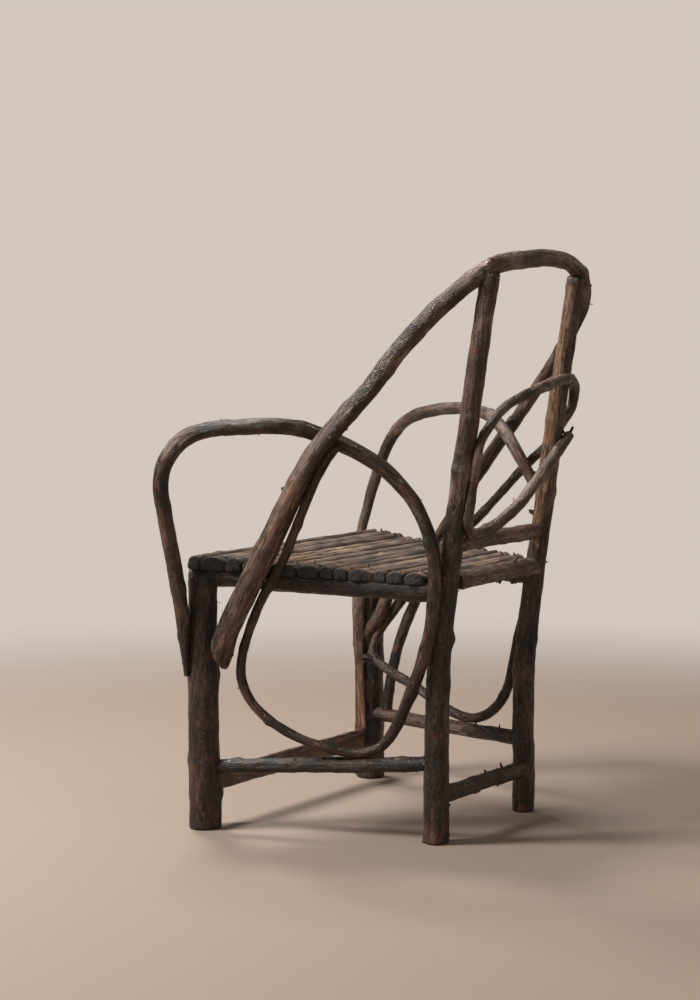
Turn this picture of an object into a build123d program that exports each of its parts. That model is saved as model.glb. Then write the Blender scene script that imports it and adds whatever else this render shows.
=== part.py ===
from build123d import *
import math
import os

# Rustic armchair of bent and nailed saplings. Millimetres, +Z up. While it is modelled, X = 0 lies midway
# between the front legs, Y = 0 on their centres and Z = 0 on the floor. The chair faces -Y, and its left
# side, as the sitter has it, is +X. At the end everything moves so that the origin is the middle of its box.

# Frame
front_spacing = 500  # between the centres of the front legs
back_spacing = 284  # between the centres of the back posts, at the floor
back_shift = 6  # how far the pair of back posts stands towards the left
seat_depth = 368  # from the front legs to the back posts, at the floor
rail_height = 420  # top of the side rails at the front legs
seat_fall = 14  # how much lower the side rails' top is at the back posts
arm_height = 646  # centre of the arms at their highest
back_height = 876  # top end of the right back post
left_post_rise = 4  # the left one is taller by this
lean_at_knee = 2  # how far the back posts have gone back below the seat
lean_at_seat = 22  # at the seat
lean_at_arm = 54  # at the arms
lean_at_top = 92  # and at their top ends

# Logs
front_leg_foot_d = 52
front_leg_top_d = 46
left_post_foot_d = 42
right_post_foot_d = 37
post_seat_d = 33
post_top_d = 29
side_rail_d = 32
side_rail_flat = 4  # depth of the flat that the slats are nailed to
rail_overhang = 20  # side rails run on in front of the front legs' centres
rear_rail_d = 40  # a split log, flat side down
rear_rail_thickness = 26
rear_rail_above_seat = 5  # its centre above the side rails' top
back_rail_d = 25
back_rail_above_seat = 62  # upper back rail's centre above the side rails' top
side_stretcher_d = 24
rear_stretcher_d = 26
front_stretcher_d = 34  # a split log, flat side to the back
front_stretcher_thickness = 18
left_stretcher_height = 100
left_stretcher_rise = 23  # its back end is higher by this
right_stretcher_height = 114
right_stretcher_rise = 6
front_stretcher_height = 74
rear_stretcher_height = 72
tenon_share = 0.5  # diameter of a whittled tenon to its log's
tenon_length = 15
tenon_play = 0.2  # all round a tenon and at its end
fork_d = 24  # branch that grew from the right front leg
fork_top_d = 21
fork_height = 282
fork_reach = 44
foot_trim = 6  # sawn off the lower end of each log to make a level foot
foot_chamfer = 3
rail_end_chamfer = 5

# Seat slats, split branches laid side by side from the front to the back
slat_widths = (20, 39, 26, 22, 21, 14, 26, 34, 22, 22, 38, 19, 27, 31)
slat_gap = 1
slat_thickness = 15
front_slat_thickness = 18
front_slats = 3  # thicker ones
first_slat_lead = 15  # front edge of the first slat before the front legs' centres
slat_overhang = 8  # past the outer side of the side rails

# Bent rods
hoop_butt_d = 38
hoop_arm_d = 31
hoop_crown_d = 29
hoop_right_d = 20
hoop_seat_d = 17
hoop_tip_d = 8
bow_end_d = 11
bow_front_d = 18
bow_arm_d = 26
bow_rear_d = 21
bow_low_d = 15
right_bow_front_d = 17
right_bow_arm_d = 21
lower_bow_top_d = 14
lower_bow_d = 17
brace_top_d = 15
brace_foot_d = 19
loop_d = 15
loop_thin_d = 12
arm_out = 74  # how far the arms stand out from the line of the legs at the front
hoop_foot_height = 266  # where the hoop is nailed to the left front leg
hoop_tip_height = 240  # and where its thin end lies on the right front leg
left_bow_foot_height = 246
left_bow_post_height = 330  # where it passes the back post below the seat
right_bow_foot_height = 76
right_bow_end_height = 543
lower_bow_leg_height = 222
lower_bow_end_height = 372
brace_top_height = 620
loop_kink_height = 496
loop_left_height = 560
loop_right_height = 712
loop_tail_height = 648
loop_foot_height = 612
bite = 1.5  # how deep one rod is let into another where they are nailed
saddle = 4  # how deep the hoop sits in the top ends of the back posts
clearance = 0.2  # left between a rod and what it is let into
slat_room = 2  # between the ends of the slats and a rod that passes them

# Nails with square shanks and heads
slat_nail_length = 26
slat_nail_d = 2.4
frame_nail_length = 48
top_nail_length = 58  # through the hoop down into the left post
frame_nail_d = 3.2
bow_nail_length = 34
bow_nail_d = 2.6
nail_head = 2.2  # width of a head to its shank's
head_thickness = 1.4
nail_play = 0.05  # all round a nail in its hole
nail_inset = 22  # from the end of a rod to the nail that holds it
corner_nail_back = 8  # nail of rail and front leg, behind the leg's centre

# Sticks are drawn with many-sided sections and short straight lengths, like the growth between two nodes
log_sides = 16
rod_sides = 12
node_turn = 11  # most degrees of bend between two nodes
node_spacing = 75  # longest stretch between two nodes

LEFT = 1
RIGHT = -1
UPWARDS = (Align.CENTER, Align.CENTER, Align.MIN)


class Rod:
    """A stick that tapers along a smooth line. Each stop is a point and the diameter there."""

    def __init__(self, stops, sides=rod_sides):
        self.sides = sides
        self.line = Spline(*[point for point, _ in stops])
        self.marks = [self.line.param_at_point(point) for point, _ in stops]
        self.radii = [diameter / 2 for _, diameter in stops]
        self.built = {}

    def radius(self, t):
        """Radius at share t of the line's length."""
        for i in range(1, len(self.marks)):
            if t <= self.marks[i] or i == len(self.marks) - 1:
                share = (t - self.marks[i - 1]) / (self.marks[i] - self.marks[i - 1])
                return self.radii[i - 1] + (self.radii[i] - self.radii[i - 1]) * share

    def corner_radius(self, t):
        """Radius to the corners of a section that has the area of the round one."""
        turn = 2 * math.pi / self.sides
        return self.radius(t) * math.sqrt(turn / math.sin(turn))

    def nodes(self):
        """Shares of the length at which the stick has a section."""
        steps = 400
        shares = [0.0]
        heading = self.line.tangent_at(0)
        for i in range(1, steps):
            t = i / steps
            turned = heading.get_angle(self.line.tangent_at(t))
            if turned > node_turn or (t - shares[-1]) * self.line.length > node_spacing:
                shares.append(t)
                heading = self.line.tangent_at(t)
        if (1 - shares[-1]) * self.line.length < self.radii[-1] and len(shares) > 1:
            shares.pop()
        return shares + [1.0]

    def solid(self, grown=0.0):
        """The stick itself, or with grown the room that it needs in another piece."""
        if grown not in self.built:
            self.built[grown] = self.loft_sections(grown)
        return self.built[grown]

    def loft_sections(self, grown):
        side = Vector(1, 0, 0)
        if abs(self.line.tangent_at(0).X) > 0.9:
            side = Vector(0, 1, 0)
        sections = []
        for t in self.nodes():
            heading = self.line.tangent_at(t)
            side = (side - heading * side.dot(heading)).normalized()
            plane = Plane(origin=self.line.position_at(t), x_dir=side, z_dir=heading)
            sections.append(plane * RegularPolygon(self.corner_radius(t) + grown, self.sides))
        return loft(sections, ruled=True)

    def share_at(self, height):
        """Share of the length at which an upright stick reaches a height."""
        low, high = 0.0, 1.0
        for _ in range(40):
            middle = (low + high) / 2
            if self.line.position_at(middle).Z < height:
                low = middle
            else:
                high = middle
        return low

    def centre_at(self, height):
        return self.line.position_at(self.share_at(height))

    def inward(self, share, own_d):
        """Centre of a rod nailed to the side of this one that faces the middle of the chair."""
        centre = self.line.position_at(share)
        heading = self.line.tangent_at(share)
        way = Vector(-math.copysign(1, centre.X), 0, 0)
        way = (way - heading * way.dot(heading)).normalized()
        return centre + way * (self.radius(share) + own_d / 2 - bite)

    def share_between(self, first, share):
        """Share of the length between a stop and the next one."""
        return self.marks[first] + (self.marks[first + 1] - self.marks[first]) * share

    def beside(self, height, bearing, own_d):
        """Centre of a rod nailed to this upright stick. Bearing 0 is to the left side, 90 to the back."""
        reach = self.radius(self.share_at(height)) + own_d / 2 - bite
        turn = math.radians(bearing)
        return self.centre_at(height) + Vector(math.cos(turn), math.sin(turn), 0) * reach


def foot_of_back_post(side):
    return Vector(side * back_spacing / 2 + back_shift, seat_depth, 0)


def rail_top(back):
    """Height of the side rails' top at a distance behind the front legs."""
    return rail_height - seat_fall * back / seat_depth


def height(level):
    """Level 0 is the floor, 1 the side rails' top, 2 the arms and 3 the tops of the back posts."""
    marks = (0, rail_height, arm_height, back_height)
    storey = min(int(level), 2)
    return marks[storey] + (marks[storey + 1] - marks[storey]) * (level - storey)


def beside(side, back, level, out):
    """A point at a share of the seat's depth, out from the straight line of that side's leg and post."""
    leg_x = side * front_spacing / 2
    x = leg_x + (foot_of_back_post(side).X - leg_x) * back
    return Vector(x + side * out, seat_depth * back, height(level))


# ---- Legs and posts


def front_leg(side):
    foot = Vector(side * front_spacing / 2, 0, -foot_trim)
    top = Vector(foot.X, foot.Y - 2, rail_top(0) - side_rail_d / 2 - side_rail_flat)
    middle = (foot + top) / 2 + Vector(0, -2, 0)
    middle_d = (front_leg_foot_d + front_leg_top_d) / 2
    return Rod([(foot, front_leg_foot_d), (middle, middle_d), (top, front_leg_top_d)], log_sides)


def back_post(side):
    foot = foot_of_back_post(side)
    below = foot - Vector(0, 0, foot_trim)
    foot_d = left_post_foot_d if side == LEFT else right_post_foot_d
    shin = foot + Vector(0, 0, height(0.3))
    knee = foot + Vector(0, lean_at_knee, height(0.6))
    seat = foot + Vector(0, lean_at_seat, height(1))
    arm = foot + Vector(0, lean_at_arm, height(2))
    top = foot + Vector(0, lean_at_top, back_height + (left_post_rise if side == LEFT else 0))
    knee_d = (foot_d + post_seat_d) / 2
    shin_d = (foot_d + knee_d) / 2
    arm_d = (post_seat_d + post_top_d) / 2
    stops = [(below, foot_d), (shin, shin_d), (knee, knee_d), (seat, post_seat_d), (arm, arm_d), (top, post_top_d)]
    return Rod(stops, log_sides)


legs = {side: front_leg(side) for side in (LEFT, RIGHT)}
posts = {side: back_post(side) for side in (LEFT, RIGHT)}


def stretcher_height(side, back):
    """Centre of a side stretcher at a share of the seat's depth."""
    if side == LEFT:
        return left_stretcher_height + left_stretcher_rise * back
    return right_stretcher_height + right_stretcher_rise * back


# ---- Rails and stretchers


def straight_log(start, end, diameter):
    return Rod([(start, diameter), ((start + end) / 2, diameter), (end, diameter)], log_sides)


def side_rail(side):
    """Its flat top lies in the slope of the seat."""
    drop = side_rail_d / 2 - side_rail_flat
    leg = Vector(side * front_spacing / 2, 0, 0)
    post = posts[side].centre_at(rail_top(seat_depth) - drop)
    run = (Vector(post.X, post.Y, 0) - leg).normalized()
    front = leg - run * rail_overhang
    start = Vector(front.X, front.Y, rail_top(front.Y) - drop)
    end = Vector(post.X, post.Y, rail_top(post.Y) - drop)
    return straight_log(start, end, side_rail_d)


def side_stretcher(side):
    leg = legs[side].centre_at(stretcher_height(side, 0))
    post = posts[side].centre_at(stretcher_height(side, 1))
    return straight_log(leg, post, side_stretcher_d)


def cross_log(pair, level_z, diameter):
    return straight_log(pair[LEFT].centre_at(level_z), pair[RIGHT].centre_at(level_z), diameter)


side_rails = {side: side_rail(side) for side in (LEFT, RIGHT)}
side_stretchers = {side: side_stretcher(side) for side in (LEFT, RIGHT)}
seat_rail_z = rail_top(seat_depth)
back_rail = cross_log(posts, seat_rail_z + back_rail_above_seat, back_rail_d)
rear_rail = cross_log(posts, seat_rail_z + rear_rail_above_seat, rear_rail_thickness)
rear_stretcher = cross_log(posts, rear_stretcher_height, rear_stretcher_d)
front_stretcher = cross_log(legs, front_stretcher_height, front_stretcher_thickness)

# ---- Bent rods

slat_end = side_rail_d / 2 + slat_overhang
hoop_seat_out = slat_end + slat_room + lower_bow_d + hoop_seat_d / 2 - bite
hoop_arm_stop = 3  # stops of the hoop at the left arm, on the left post, beside the right post and below
hoop_top_stop = 7
hoop_side_stop = 13
hoop_low_stop = 14


def over_post(side, diameter):
    """Centre of a rod that is let into the top end of a back post."""
    return posts[side].line.position_at(1) + Vector(0, 0, diameter / 2 - saddle)


def crown(across, rise):
    """A point of the hoop between the tops of the posts: across is 0 at the left and 1 at the right."""
    left = over_post(LEFT, hoop_crown_d)
    right = over_post(RIGHT, hoop_crown_d)
    return left + (right - left) * across + Vector(0, 0, rise)


def make_hoop():
    """From the left front leg over both back posts and down to the right front leg."""
    return Rod([
        (legs[LEFT].beside(hoop_foot_height, 80, hoop_butt_d), hoop_butt_d),
        (beside(LEFT, 0.30, 1.01, slat_end + hoop_butt_d / 2 + 3), hoop_butt_d),
        (beside(LEFT, 0.41, 1.36, 49), hoop_butt_d - 2),
        (beside(LEFT, 0.605, 1.93, 51), hoop_arm_d),
        (beside(LEFT, 0.735, 2.155, 48), hoop_arm_d - 1),
        (beside(LEFT, 0.832, 2.36, 46), hoop_crown_d),
        (beside(LEFT, 1.075, 2.84, 34), hoop_crown_d),
        (over_post(LEFT, hoop_crown_d), hoop_crown_d),
        (crown(0.32, 14), hoop_crown_d),
        (crown(0.55, 21), hoop_crown_d),
        (crown(0.79, 18), hoop_crown_d - 3),
        (crown(1.0, 6), hoop_crown_d - 4),
        (posts[RIGHT].beside(back_height - 22, 160, hoop_crown_d - 6), hoop_crown_d - 6),
        (posts[RIGHT].beside(back_height - 74, 185, hoop_right_d), hoop_right_d),
        (beside(RIGHT, 0.99, 2.18, 34), hoop_right_d),
        (beside(RIGHT, 0.71, 1.70, 39), hoop_right_d),
        (beside(RIGHT, 0.42, 1.16, 44), hoop_seat_d),
        (beside(RIGHT, 0.32, 0.99, hoop_seat_out), hoop_seat_d),
        (beside(RIGHT, 0.12, 0.74, 30), hoop_seat_d - 2),
        (legs[RIGHT].beside(hoop_tip_height, 33, hoop_tip_d), hoop_tip_d),
    ])


hoop = make_hoop()
hoop_at_arm = hoop.line.position_at(hoop.marks[hoop_arm_stop])


def under_hoop(share, own_d):
    """Centre of a rod that lies along the hoop, behind and below it."""
    reach = hoop.radius(share) + own_d / 2 - bite
    return hoop.line.position_at(share) + Vector(-0.3, 0.8, -0.5).normalized() * reach


def make_left_bow():
    """Both the left arm and the loop below it, in one long sapling."""
    on_stretcher = stretcher_height(LEFT, 0.72) + (side_stretcher_d + bow_low_d) / 2 - bite
    past_slats = slat_end + bow_low_d / 2 + slat_room
    rail = side_rails[LEFT].line
    outward = Vector(1, 0, 0) * ((side_rail_d + bow_rear_d) / 2 - bite)
    low = beside(LEFT, 0.72, 0, 0)
    return Rod([
        (legs[LEFT].beside(left_bow_foot_height, -32, bow_end_d), bow_end_d),
        (beside(LEFT, -0.07, 0.88, 32), bow_front_d),
        (beside(LEFT, -0.08, 1.30, arm_out - 14), bow_front_d),
        (beside(LEFT, -0.07, 1.70, arm_out + 4), bow_front_d),
        (beside(LEFT, 0.02, 1.91, arm_out + 4), bow_front_d + 4),
        (beside(LEFT, 0.27, 2.00, arm_out - 5), bow_arm_d),
        (beside(LEFT, 0.46, 2.0, 42), bow_arm_d),
        (hoop.inward(hoop.marks[hoop_arm_stop], bow_arm_d), bow_arm_d),
        (beside(LEFT, 0.73, 1.82, 28), bow_arm_d),
        (beside(LEFT, 0.94, 1.51, 28), bow_rear_d),
        (beside(LEFT, 1.02, 1.19, 27), bow_rear_d),
        (rail.position_at(0.985) + outward, bow_rear_d),
        (posts[LEFT].beside(left_bow_post_height, -12, bow_rear_d), bow_rear_d),
        (beside(LEFT, 0.91, 0.54, 20), bow_rear_d - 2),
        (Vector(low.X, low.Y, on_stretcher), bow_low_d),
        (beside(LEFT, 0.56, 0.332, 10), bow_low_d),
        (beside(LEFT, 0.33, 0.42, 18), bow_low_d),
        (beside(LEFT, 0.19, 0.57, 19), bow_low_d),
        (beside(LEFT, 0.20, 0.70, 19), bow_low_d),
        (beside(LEFT, 0.30, 0.89, past_slats), bow_low_d),
        (beside(LEFT, 0.39, 1.05, past_slats), bow_low_d),
        (under_hoop(hoop.share_between(2, 0.35), bow_low_d), bow_low_d),
        (under_hoop(hoop.marks[hoop_arm_stop], bow_low_d), bow_low_d - 2),
    ])


def make_lower_bow():
    """The loop below the right arm, a second sapling that starts beside the hoop."""
    on_stretcher = stretcher_height(RIGHT, 0.70) + (side_stretcher_d + lower_bow_d) / 2 - bite
    low = beside(RIGHT, 0.70, 0, 2)
    return Rod([
        (hoop.inward(hoop.share_between(hoop_low_stop, 0.33), lower_bow_top_d), lower_bow_top_d),
        (hoop.inward(hoop.share_between(hoop_low_stop, 0.88), lower_bow_top_d), lower_bow_top_d),
        (beside(RIGHT, 0.45, 1.17, slat_end + 6), lower_bow_d),
        (beside(RIGHT, 0.35, 0.99, slat_end + lower_bow_d / 2 + slat_room), lower_bow_d),
        (beside(RIGHT, 0.18, 0.75, 12), lower_bow_d),
        (legs[RIGHT].beside(lower_bow_leg_height, 37, lower_bow_d), lower_bow_d),
        (beside(RIGHT, 0.14, 0.485, -22), lower_bow_d),
        (beside(RIGHT, 0.42, 0.388, -7), lower_bow_d),
        (Vector(low.X, low.Y, on_stretcher), lower_bow_d),
        (beside(RIGHT, 0.86, 0.43, 11), lower_bow_d),
        (beside(RIGHT, 0.935, 0.66, 16), lower_bow_d),
        (posts[RIGHT].beside(lower_bow_end_height, 190, lower_bow_d - 3), lower_bow_d - 3),
    ])


lower_bow = make_lower_bow()


def make_right_bow():
    """The right arm, from low on the front leg to the front of the back post."""
    return Rod([
        (legs[RIGHT].beside(right_bow_foot_height, 237, right_bow_front_d - 4), right_bow_front_d - 4),
        (legs[RIGHT].beside(2 * right_bow_foot_height, 240, right_bow_front_d), right_bow_front_d),
        (beside(RIGHT, -0.15, 0.70, 22), right_bow_front_d),
        (beside(RIGHT, -0.16, 1.05, 45), right_bow_front_d),
        (beside(RIGHT, -0.11, 1.45, arm_out - 6), right_bow_front_d + 2),
        (beside(RIGHT, 0.01, 1.85, arm_out + 4), right_bow_arm_d),
        (beside(RIGHT, 0.26, 2.02, arm_out - 5), right_bow_arm_d),
        (beside(RIGHT, 0.50, 2.055, 53), right_bow_arm_d),
        (beside(RIGHT, 0.72, 2.03, 28), right_bow_arm_d),
        (lower_bow.inward(lower_bow.share_between(0, 0.2), right_bow_arm_d), right_bow_arm_d),
        (posts[RIGHT].beside(right_bow_end_height, 262, right_bow_arm_d - 2), right_bow_arm_d - 2),
    ])


def make_brace():
    """From the outer side of the right back post down to the side stretcher."""
    foot = beside(RIGHT, 0.12, 0, -2)
    foot_z = stretcher_height(RIGHT, 0.12) + side_stretcher_d / 2 - bite
    return Rod([
        (posts[RIGHT].beside(brace_top_height, 190, brace_top_d), brace_top_d),
        (beside(RIGHT, 0.91, 1.60, 26), brace_top_d),
        (beside(RIGHT, 0.65, 1.24, 32), brace_top_d),
        (beside(RIGHT, 0.47, 1.02, slat_end + brace_foot_d / 2 + slat_room), brace_foot_d),
        (beside(RIGHT, 0.245, 0.75, 25), brace_foot_d),
        (beside(RIGHT, 0.18, 0.595, 10), brace_foot_d),
        (Vector(foot.X, foot.Y, foot_z), brace_foot_d),
    ])


def loop_kink():
    return posts[LEFT].beside(loop_kink_height, 80, loop_d)


def make_loop_top():
    """The loop behind the back: from the kink up the left post and over behind the right one."""
    return Rod([
        (loop_kink(), loop_d),
        (posts[LEFT].beside(loop_left_height, 88, loop_thin_d), loop_thin_d),
        (posts[LEFT].beside(loop_left_height + 68, 84, loop_thin_d) + Vector(-10, 2, 0), loop_thin_d),
        (crown(0.18, -219) - Vector(0, 10, 0), loop_thin_d),
        (crown(0.58, -185) - Vector(0, 2, 0), loop_d),
        (posts[RIGHT].beside(loop_right_height, 88, loop_d), loop_d),
        (posts[RIGHT].centre_at(loop_right_height - 22) + Vector(-34, 12, 0), loop_d),
        (posts[RIGHT].centre_at(loop_tail_height + 20) + Vector(-36, 9, 0), loop_thin_d),
        (posts[RIGHT].beside(loop_tail_height, 160, loop_thin_d), loop_thin_d),
    ])


def make_loop_foot():
    """From the kink along the upper back rail and up to a broken end behind the right post."""
    rail = back_rail.line.position_at(0.24)
    on_rail = rail + Vector(0, 1, 1).normalized() * ((back_rail_d + loop_d) / 2 - bite)
    return Rod([
        (loop_kink(), loop_d),
        (on_rail, loop_d),
        (on_rail + Vector(-58, 12, 22), loop_d),
        (on_rail + Vector(-112, 24, 60), loop_d),
        (posts[RIGHT].beside(loop_foot_height, 92, loop_d), loop_d),
        (posts[RIGHT].centre_at(loop_foot_height + 14) + Vector(-14, 24, 0), loop_d - 3),
    ])


left_bow = make_left_bow()
right_bow = make_right_bow()
brace = make_brace()
loop_top = make_loop_top()
loop_foot = make_loop_foot()

# ---- Joints


def let_in(piece, *neighbours):
    """The piece with room cut for each neighbour that it lies against."""
    return piece - [neighbour.solid(clearance) for neighbour in neighbours]


def tenon(log, end, grown=0.0):
    """The whittled tenon of a log that runs to the centre of an upright. End is 0 or 1."""
    heading = log.line.tangent_at(end) * (1 if end == 1 else -1)
    centre = log.line.position_at(end)
    owner = min([*legs.values(), *posts.values()], key=lambda it: (it.centre_at(centre.Z) - centre).length)
    wall = owner.radius(owner.share_at(centre.Z))
    start = centre - heading * (wall + side_rail_flat)
    length = side_rail_flat + tenon_length + grown
    radius = log.radii[0] * tenon_share + grown
    return extrude(Plane(origin=start, z_dir=heading) * RegularPolygon(radius, rod_sides), length)


def mortised(upright, *ends):
    """An upright with a bore for each (log, end) that enters it."""
    return upright - [tenon(log, end, tenon_play) for log, end in ends]


def between(log, first, last):
    """A log cut round to the faces of the two uprights that it joins, with a tenon at each end."""
    body = let_in(log.solid(), first, last)
    body = max(body.solids(), key=lambda it: it.volume)
    return body + tenon(log, 0) + tenon(log, 1)


def seat_plane():
    """The plane of the side rails' flat tops, with its X across the chair."""
    slope = Vector(0, seat_depth, -seat_fall).normalized()
    return Plane(origin=(0, 0, rail_height), x_dir=(1, 0, 0), z_dir=Vector(1, 0, 0).cross(slope))


def above_seat(thickness):
    """A slab over the whole seat, from the side rails' top upwards."""
    size = 3 * (front_spacing + seat_depth)
    return seat_plane() * Box(size, size, thickness, align=UPWARDS)


# ---- Seat


def seat_outline():
    """The seat's plan, a little past the outer sides of the side rails, as a deep block."""
    front = -2 * first_slat_lead
    back = seat_depth + 2 * post_seat_d
    corners = []
    for side, y in ((LEFT, front), (LEFT, back), (RIGHT, back), (RIGHT, front)):
        edge = beside(side, y / seat_depth, 0, slat_end)
        corners.append((edge.X, edge.Y))
    return Plane.XY * extrude(make_face(Polyline(*corners, close=True)), arm_height)


def slat_places():
    """Each slat's middle along the slope of the seat, with its width and thickness."""
    at = -first_slat_lead
    for i, width in enumerate(slat_widths):
        thickness = front_slat_thickness if i < front_slats else slat_thickness
        yield at + width / 2, width, thickness
        at += width + slat_gap


def slat(middle, width, thickness, outline):
    """A branch split along its middle: flat below, straight sides, and a bark side that is an arch."""
    shoulder = thickness * 0.55
    half = width / 2
    profile = Polyline((-half, shoulder), (-half, 0), (half, 0), (half, shoulder))
    arch = ThreePointArc((half, shoulder), (0, thickness), (-half, shoulder))
    across = Plane(origin=(0, middle, 0), x_dir=(0, 1, 0), z_dir=(1, 0, 0))
    face = seat_plane() * across * make_face(profile + arch)
    return extrude(face, front_spacing, both=True) & outline


# ---- Nails


def nail(head_at, towards, length, shank_d, grown=0.0):
    """A square nail whose head lies at a point and whose shank runs from it."""
    plane = Plane(origin=head_at, z_dir=towards)
    head_d = shank_d * nail_head + 2 * grown
    hole_d = shank_d + 2 * grown
    head = Box(head_d, head_d, head_thickness, align=UPWARDS)
    shank = Box(hole_d, hole_d, length + grown, align=UPWARDS)
    return plane * (head + shank)


def rod_nail(rod, share, core):
    """Head and direction of a nail through a rod into a neighbour's centre line."""
    centre = rod.line.position_at(share)
    towards = (core - centre).normalized()
    return centre - towards * (rod.radius(share) - head_thickness / 2), towards


def inset(rod, end=0):
    """Share of a rod's length at which the nail near one of its ends goes through."""
    share = nail_inset / rod.line.length
    return 1 - share if end == 1 else share


# ---- The pieces


def level_foot(upright):
    """An upright sawn off at the floor, with the edge of its foot broken at 45 degrees."""
    foot = upright.centre_at(0)
    tip_radius = upright.radius(0) - foot_chamfer
    room = Cone(tip_radius, tip_radius + 2 * back_height, 2 * back_height, align=UPWARDS)
    return upright.solid() & Pos(foot.X, foot.Y, 0) * room


def front_leg_piece(side):
    piece = level_foot(legs[side])
    if side == RIGHT:
        piece = piece + fork()
    piece = let_in(piece, side_rails[side])
    piece = mortised(piece, (side_stretchers[side], 0), (front_stretcher, 0 if side == LEFT else 1))
    return max(piece.solids(), key=lambda it: it.volume)


def fork():
    """The branch that grew from the right front leg and props the side rail from below."""
    root = legs[RIGHT].centre_at(fork_height - 20)
    bend = legs[RIGHT].centre_at(fork_height + 40) + Vector(3, fork_reach * 0.5, 0)
    rail_point = side_rails[RIGHT].line.position_at(0.5)
    top_z = rail_top(fork_reach) - side_rail_d + 2 * side_rail_flat
    lean = (rail_point.X - legs[RIGHT].centre_at(top_z).X) * fork_reach / rail_point.Y
    top = legs[RIGHT].centre_at(top_z) + Vector(lean, fork_reach, 0)
    return Rod([(root, fork_d), (bend, fork_d), (top, fork_top_d)]).solid()


def back_post_piece(side):
    end = 0 if side == LEFT else 1
    piece = level_foot(posts[side])
    piece = let_in(piece, hoop)
    piece = max(piece.solids(), key=lambda it: it.volume)
    return mortised(piece, (side_rails[side], 1), (side_stretchers[side], 1), (rear_stretcher, end),
                    (back_rail, end), (rear_rail, end))


def side_rail_piece(side):
    body = side_rails[side].solid()
    front = body.faces().sort_by(Axis.Y)[0]
    body = chamfer(front.edges(), rail_end_chamfer)
    body = let_in(body, posts[side]) - above_seat(side_rail_d)
    body = max(body.solids(), key=lambda it: it.volume)
    return body + tenon(side_rails[side], 1)


def split_log(axis_log, diameter, flat_side, first, last):
    """Half a log between two uprights. Its tenons are in the middle of its thickness."""
    thickness = 2 * axis_log.radii[0]
    shift = flat_side * (diameter - thickness) / 2
    ends = [axis_log.line.position_at(t) + shift for t in (0, 1)]
    whole = straight_log(ends[0], ends[1], diameter).solid()
    origin = axis_log.line.position_at(0.5) + flat_side * thickness / 2
    size = 2 * front_spacing
    away = Plane(origin=origin, z_dir=flat_side) * Box(size, size, size, align=UPWARDS)
    body = let_in(whole - away, first, last, *side_rails.values())
    body = max(body.solids(), key=lambda it: it.volume)
    return body + tenon(axis_log, 0) + tenon(axis_log, 1)


parts = {
    "left_front_leg": front_leg_piece(LEFT),
    "right_front_leg": front_leg_piece(RIGHT),
    "left_back_post": back_post_piece(LEFT),
    "right_back_post": back_post_piece(RIGHT),
    "left_seat_rail": side_rail_piece(LEFT),
    "right_seat_rail": side_rail_piece(RIGHT),
    "rear_seat_rail": split_log(rear_rail, rear_rail_d, Vector(0, 0, -1), *posts.values()),
    "upper_back_rail": between(back_rail, posts[LEFT], posts[RIGHT]),
    "left_stretcher": between(side_stretchers[LEFT], legs[LEFT], posts[LEFT]),
    "right_stretcher": between(side_stretchers[RIGHT], legs[RIGHT], posts[RIGHT]),
    "front_stretcher": split_log(front_stretcher, front_stretcher_d, Vector(0, 1, 0), *legs.values()),
    "rear_stretcher": between(rear_stretcher, posts[LEFT], posts[RIGHT]),
    "back_hoop": let_in(hoop.solid(), legs[LEFT], legs[RIGHT]),
    "left_arm_bow": let_in(left_bow.solid(), hoop, legs[LEFT], posts[LEFT], side_rails[LEFT],
                           side_stretchers[LEFT]),
    "lower_right_bow": let_in(lower_bow.solid(), hoop, legs[RIGHT], posts[RIGHT], side_stretchers[RIGHT]),
    "right_arm_bow": let_in(right_bow.solid(), lower_bow, legs[RIGHT], posts[RIGHT]),
    "right_brace": let_in(brace.solid(), posts[RIGHT], side_stretchers[RIGHT]),
    "back_loop": let_in(loop_top.solid() + loop_foot.solid(), posts[LEFT], posts[RIGHT], back_rail),
}

outline = seat_outline()
for number, place in enumerate(slat_places(), 1):
    parts[f"seat_slat_{number:02d}"] = slat(*place, outline)
last_slat = f"seat_slat_{len(slat_widths):02d}"
parts[last_slat] = let_in(parts[last_slat], left_bow)

nails = {"slat_nails": [], "frame_nails": [], "bow_nails": []}
holes = {name: [] for name in parts}


def drive(group, names, head_at, towards, length, shank_d):
    """Adds a nail to its group, and its hole to the pieces that it goes through."""
    for name in names:
        holes[name].append(nail(head_at, towards, length, shank_d, nail_play))
    nails[group].append(nail(head_at, towards, length, shank_d))


down = seat_plane().z_dir * -1
rail_names = {LEFT: "left_seat_rail", RIGHT: "right_seat_rail"}
leg_names = {LEFT: "left_front_leg", RIGHT: "right_front_leg"}
for number, (middle, width, thickness) in enumerate(slat_places(), 1):
    for side, rail_name in rail_names.items():
        rail_x = beside(side, middle / seat_depth, 0, 0).X
        head_at = seat_plane().from_local_coords((rail_x, middle, thickness))
        names = [f"seat_slat_{number:02d}", rail_name]
        drive("slat_nails", names, head_at, down, slat_nail_length, slat_nail_d)

for side, rail_name in rail_names.items():
    head_at = seat_plane().from_local_coords((side * front_spacing / 2, corner_nail_back, 0))
    drive("frame_nails", [rail_name, leg_names[side]], head_at, down, frame_nail_length, frame_nail_d)

top_core = posts[LEFT].line.position_at(0.9)
head_at, towards = rod_nail(hoop, hoop.marks[hoop_top_stop], top_core)
drive("frame_nails", ["back_hoop", "left_back_post"], head_at, towards, top_nail_length, frame_nail_d)


def nailed(rod, share, upright, *names):
    """A nail through a rod into the centre of an upright."""
    core = upright.centre_at(rod.line.position_at(share).Z)
    return rod, share, core, names


def nailed_down(rod, stop, *names):
    """A nail straight down through a rod at one of its stops."""
    share = rod.marks[stop]
    return rod, share, rod.line.position_at(share) - Vector(0, 0, 1), names


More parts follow.
